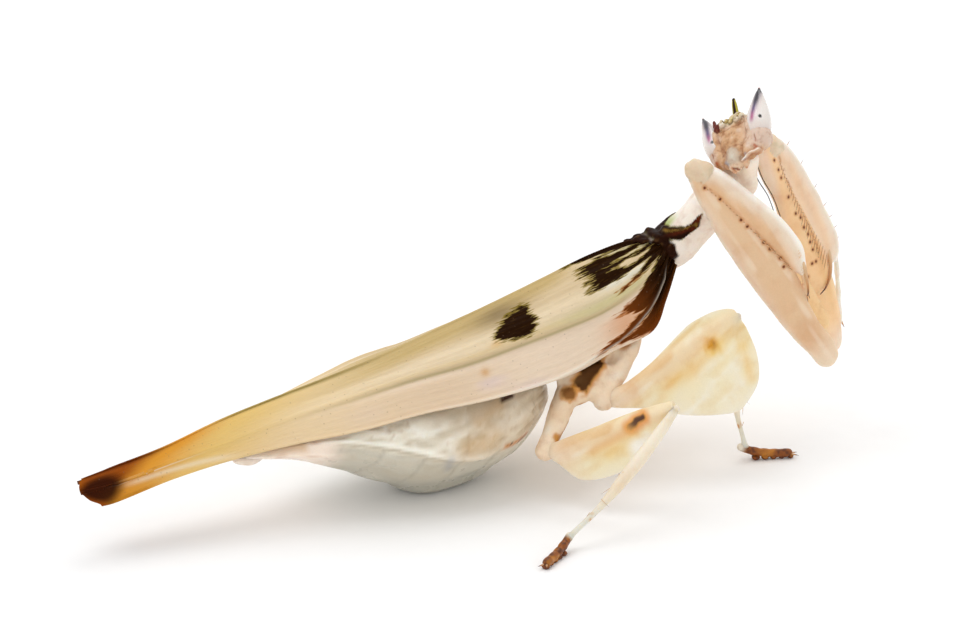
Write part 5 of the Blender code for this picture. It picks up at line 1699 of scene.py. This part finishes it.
def spine_tree():
    """Geometry nodes: one bent cone on each point, aimed and sized by the point's own values."""
    tree = bpy.data.node_groups.new("bent spines", "GeometryNodeTree")
    for name, kind in (("Geometry", "Geometry"), ("Bend", "Float"), ("Sides", "Int"), ("Material", "Material")):
        tree.interface.new_socket(name, in_out="INPUT", socket_type="NodeSocket" + kind)
    tree.interface.new_socket("Geometry", in_out="OUTPUT", socket_type="NodeSocketGeometry")
    given = tree.nodes.new("NodeGroupInput")
    result = tree.nodes.new("NodeGroupOutput")
    cone = add(tree, "GeometryNodeMeshCone", None, {"Vertices": given.outputs["Sides"], "Side Segments": 7,
                                                   "Radius Top": 0.06, "Radius Bottom": 1.0, "Depth": 1.0})
    place = add(tree, "GeometryNodeInputPosition")
    height = add(tree, "SeparateXYZ", None, {0: place}, out=2)
    marked = add(tree, "GeometryNodeStoreNamedAttribute", {"data_type": "FLOAT", "domain": "POINT"},
                 {"Geometry": cone, "Name": "tip", "Value": height})
    square = add(tree, "Math", {"operation": "MULTIPLY"}, {0: height, 1: height})
    lean = add(tree, "Math", {"operation": "MULTIPLY"}, {0: square, 1: given.outputs["Bend"]})
    shift = add(tree, "CombineXYZ", None, {0: lean})
    bent = add(tree, "GeometryNodeSetPosition", None, {"Geometry": marked, "Offset": shift})
    aim = add(tree, "GeometryNodeInputNamedAttribute", {"data_type": "FLOAT_VECTOR"}, {"Name": "aim"})
    reach = add(tree, "GeometryNodeInputNamedAttribute", {"data_type": "FLOAT"}, {"Name": "reach"})
    girth = add(tree, "GeometryNodeInputNamedAttribute", {"data_type": "FLOAT"}, {"Name": "girth"})
    turned = add(tree, "FunctionNodeAlignRotationToVector", {"axis": "Z"}, {"Vector": aim})
    size = add(tree, "CombineXYZ", None, {0: girth, 1: girth, 2: reach})
    many = add(tree, "GeometryNodeInstanceOnPoints", None,
               {"Points": given.outputs["Geometry"], "Instance": bent, "Rotation": turned, "Scale": size})
    real = add(tree, "GeometryNodeRealizeInstances", None, {"Geometry": many})
    done = add(tree, "GeometryNodeSetMaterial", None, {"Geometry": real, "Material": given.outputs["Material"]})
    tree.links.new(done, result.inputs[0])
    return tree


def grow_spines(name, rows, bend, horn, sides=7):
    """Rows of root, aim, length and base radius, in mm, grown into one mesh."""
    mesh = bpy.data.meshes.new(name + "_roots")
    mesh.from_pydata([tuple(row[0]) for row in rows], [], [])
    point_field(mesh, "aim", [unit(row[1]) for row in rows], "FLOAT_VECTOR", "vector")
    point_field(mesh, "reach", [row[2] for row in rows])
    point_field(mesh, "girth", [row[3] for row in rows])
    roots = put(name + "_roots", mesh)
    grower = roots.modifiers.new("spines", "NODES")
    grower.node_group = SPINE_TREE
    sockets = {item.name: item.identifier for item in SPINE_TREE.interface.items_tree if item.in_out == "INPUT"}
    grower[sockets["Bend"]] = float(bend)
    grower[sockets["Sides"]] = sides
    grower[sockets["Material"]] = horn
    placed(name, worked_in(roots))


COMB_TEETH = 25


def fore_spines(side, rng):
    """The row of small points along each femur, and the left leg's comb of longer ones."""
    _, _, along, across, out = fore_frame(side)
    rows = []
    for share in np.arange(0.93, 0.41, -0.021):
        spot = on_fore_skin(side, share, read(FORE_ROW_LINE[side], share) - 0.12)
        size = 0.14 + (0.55 * ease(0.7, 0.55, share) if side == RIGHT else 0.0)
        lean = across * 0.5 - along * 0.9 - out * 0.8
        rows.append((spot - out * 0.06, lean, size * rng.uniform(0.85, 1.2), 0.05))
    if side == LEFT:
        for i in range(COMB_TEETH):
            share = 0.93 - 0.52 * i / (COMB_TEETH - 1)
            inner = np.interp(share, [0.41, 0.5, 0.64, 0.76, 0.88], [0.75, 0.3, -0.4, -0.9, -1.3])
            lean = -along * 0.75 - across * 0.85 - out * 0.2
            size = 0.3 + 0.95 * ease(0.93, 0.5, share)
            rows.append((on_fore(side, share, inner + 0.55, -0.72), lean, size * rng.uniform(0.85, 1.1), 0.045))
    return rows


def make_hook(side, horn):
    path = [(*on_fore(side, *place), radius) for *place, radius in FORE_HOOK[side]]
    hook = tube(path, fore_frame(side)[4], 14)
    hook["fields"] = {"tip": hook["fields"]["share"] ** 1.5}
    piece(f"fore_hook_{SIDE_NAME[side]}", joined([hook]), [horn])


def claw_rows(toe, ahead):
    """Two small claws at a toe."""
    ahead = unit(ahead)
    sideways = unit(np.cross(ahead, (0, 0, 1)))
    return [(np.asarray(toe) + sideways * 0.1 * s, ahead + sideways * 0.45 * s, 0.6, 0.09) for s in (-1, 1)]


EDGE_HAIRS = {LEFT: (0.96, 0.84, 0.7, 0.6, 0.54, 0.48, 0.41), RIGHT: ()}


def hair_rows(rng):
    """Short stiff hairs on the outer edge of the left grasping leg and along the walking shins."""
    rows = []
    for side in (LEFT, RIGHT):
        _, _, along, across, _ = fore_frame(side)
        for share in EDGE_HAIRS[side]:
            edge = read(FORE_TIBIA_ROWS[side], share, 2)
            lean = across + along * rng.uniform(-0.1, 0.6)
            rows.append((on_fore(side, share, edge - 0.08), lean, 0.7, 0.045))
        for leg in (MID_LEG[side], HIND_LEG[side]):
            knee, ankle = np.array(leg[2]), np.array(leg[3])
            for share in (0.5, 0.62, 0.7, 0.8, 0.9):
                aim = (rng.uniform(-0.6, 0.6), rng.uniform(-0.6, 0.6), -0.5)
                rows.append((between(knee, ankle, share), aim, 0.85, 0.025))
    return rows


# ---- stage -----------------------------------------------------------------

CAMERA_AZIMUTH = math.radians(-26.0)
CAMERA_HEIGHT = math.radians(22.0)
CAMERA_DISTANCE = 320.0
VIEW_WIDTH = 72.52
VIEW_CENTRE = (4.44, 12.32)
SENSOR = 36.0


def make_camera():
    az, el = CAMERA_AZIMUTH, CAMERA_HEIGHT
    back = Vector((math.sin(az) * math.cos(el), -math.cos(az) * math.cos(el), math.sin(el)))
    right = Vector((math.cos(az), math.sin(az), 0.0))
    up = back.cross(right)
    place = back * CAMERA_DISTANCE + right * VIEW_CENTRE[0] + up * VIEW_CENTRE[1]
    matrix = Matrix((right, up, back)).transposed().to_4x4()
    matrix.translation = (place - Vector(ORIGIN)) * MM
    data = bpy.data.cameras.new("camera")
    data.sensor_width = SENSOR
    data.lens = SENSOR * CAMERA_DISTANCE / VIEW_WIDTH
    data.clip_start = 0.01
    data.clip_end = 10.0
    camera = put("camera", data)
    camera.matrix_world = matrix
    bpy.context.scene.camera = camera


# The lights' place and size in metres and power in watts; both face a point above the animal's feet.
LIT_POINT = (0.0, 0.0, 0.01)
SOFTBOXES = {"key softbox": ((-0.28, 0.1, 0.72), 0.5, 1.15), "back softbox": ((0.3, 0.25, 0.65), 0.5, 0.85)}
WORLD_LIGHT = 0.86
FLOOR_SIZE = 6.0


def soft_light(name, place, size, power):
    data = bpy.data.lights.new(name, "AREA")
    data.shape = "DISK"
    data.size = size
    data.energy = power
    lamp = put(name, data)
    lamp.location = place
    lamp.rotation_euler = (Vector(LIT_POINT) - Vector(place)).to_track_quat("-Z", "Y").to_euler()


def make_stage():
    world = bpy.data.worlds.new("white studio")
    world.use_nodes = True
    sky = world.node_tree.nodes["Background"].inputs
    sky["Color"].default_value = (1.0, 1.0, 1.0, 1.0)
    sky["Strength"].default_value = WORLD_LIGHT
    bpy.context.scene.world = world
    for name, settings in SOFTBOXES.items():
        soft_light(name, *settings)
    bpy.ops.mesh.primitive_plane_add(size=FLOOR_SIZE, location=(0, 0, 0))
    floor = bpy.context.object
    floor.name = "studio_floor"
    floor.data.materials.append(paper_floor())
    bpy.context.scene.view_settings.view_transform = "Standard"


# ---- making ----------------------------------------------------------------

SPINE_TREE = spine_tree()
# x, y on the left, z and radius of the short lobes at the abdomen's end
CERCUS_ROWS = [(-13.6, 1.0, 5.6, 0.3), (-14.7, 1.1, 5.35, 0.52), (-15.7, 1.05, 5.5, 0.45)]


def make_body(belly, body, face):
    """One skin over abdomen, thorax, prothorax, neck, head, mouth and coxae."""
    abdomen, slope, groove, folds = abdomen_part()
    poles = np.zeros(len(abdomen["points"]) - groove.size)
    fit = [np.append(np.broadcast_to(v, groove.shape), poles) for v in (slope, groove, folds)]
    grounds = [abdomen_ground(abdomen["points"], *fit)]
    forebody = forebody_part()
    grounds.append(forebody_ground(forebody["points"]))
    head = head_part()
    grounds.append(head_ground(head["points"]))
    parts = [abdomen, forebody, head]
    for side in (LEFT, RIGHT):
        lobe = tube([(x, y * side, z, radius) for x, y, z, radius in CERCUS_ROWS], (0, 0, 1), 24, 8, 0.9)
        parts.append(lobe)
        points = lobe["points"]
        grounds.append(paint(flood(len(points), "#F2E0D0"), "#DDB894", lumps(points, 0.5, 99) * 0.3))
    for one in parts:
        one["fields"] = {}
    whole = joined(parts)
    nodes = ["abdomen", "thorax", "prothorax", "neck", "head", "mouthparts"]
    nodes += [f"{stem}_{name}" for stem in ("cercus", "fore_coxa", "mid_coxa", "hind_coxa")
              for name in SIDE_NAME.values()]
    piece("body_skin", whole, [belly, body, face], nodes, np.vstack(grounds))


def make_animal():
    rng = np.random.default_rng(7)
    leather = wing_leather()
    # thin fan membrane, milky, with a dull sheen
    membrane = cuticle("hindwing membrane, milky", 0.2, 2.0, 0.1, roughness=0.4)
    # ivory belly cuticle, stretched and waxy, so it takes long soft highlights
    belly = cuticle("belly cuticle, ivory wax", 0.12, 1.8, 0.12, "#D6C3A2", 0.2, roughness=0.3,
                    specular_ior_level=0.25, coat_weight=0.1, coat_roughness=0.25,
                    **soaking(0.25, (1.0, 0.7, 0.5), 0.8))
    # chest and leg-base cuticle, pink cream, with fine wrinkles and a soft sheen
    body = cuticle("chest cuticle, pink cream", 0.1, 0.9, 0.3, "#C79A78", 0.3, 0.22, roughness=0.42,
                   specular_ior_level=0.04, **soaking(0.2, (1.0, 0.6, 0.4), 0.4))
    # face cuticle, flesh coloured, mottled brown, finely pitted
    face = cuticle("face cuticle, mottled flesh", 0.07, 0.35, 0.3, "#B4805C", 0.4, 0.14, roughness=0.4,
                   specular_ior_level=0.3, **soaking(0.2, (1.0, 0.6, 0.4), 0.5))
    # grasping legs: peach cuticle with a satin surface and fine tubercles
    peach = cuticle("grasping leg cuticle, peach satin", 0.11, 1.6, 0.25, "#DDB08A", 0.25, 0.2, roughness=0.4,
                    specular_ior_level=0.3, **soaking(0.3, (1.0, 0.6, 0.4), 0.9))
    # petal lobes: thin milky cuticle that light soaks into
    petal = cuticle("petal lobe cuticle, milky cream", 0.1, 1.4, 0.15, "#E8C88F", 0.3, roughness=0.38,
                    **soaking(0.45, (1.0, 0.8, 0.55), 1.2))
    # foot pads: red-brown cuticle, a little glossy
    pad = cuticle("foot cuticle, red-brown", 0.08, 0.4, 0.4, "#6A3410", 0.4, roughness=0.35,
                  specular_ior_level=0.35)
    # horn and feelers: hard dark cuticle, almost without gloss
    dark = cuticle("horn cuticle, dark brown", 0.06, 0.3, 0.2, "#3A1C10", 0.3, roughness=0.38,
                   specular_ior_level=0.1)
    cornea, horn = eye_cornea(), spine_horn()

    make_body(belly, body, face)
    make_horn(dark)
    for side in (LEFT, RIGHT):
        make_eye(side, cornea)
        make_antenna(side, dark)
        make_forewing(side, leather)
        make_hindwing(side, membrane)
        make_foreleg(side, peach)
        for pair in WALKING_LEGS:
            make_walking_leg(pair, side, petal, pad)
        name = SIDE_NAME[side]
        grow_spines(f"fore_spines_{name}", fore_spines(side, rng), 0.15, horn)
        make_hook(side, horn)
    claws = []
    for side in (LEFT, RIGHT):
        for leg in (MID_LEG[side], HIND_LEG[side]):
            ankle, toe = np.array(leg[3]), np.array(leg[4])
            claws += claw_rows(toe * (1, 1, 0) + (0, 0, 0.35), (toe - ankle) * (1, 1, 0) + (0, 0, -0.3))
        ankle, toe = (np.array(p) for p in FORE_TARSUS[side])
        claws += claw_rows(toe, toe - ankle)
    grow_spines("claws", claws, 0.3, horn)
    grow_spines("stiff_hairs", hair_rows(rng), 0.1, horn, 5)


make_camera()
make_stage()
make_animal()
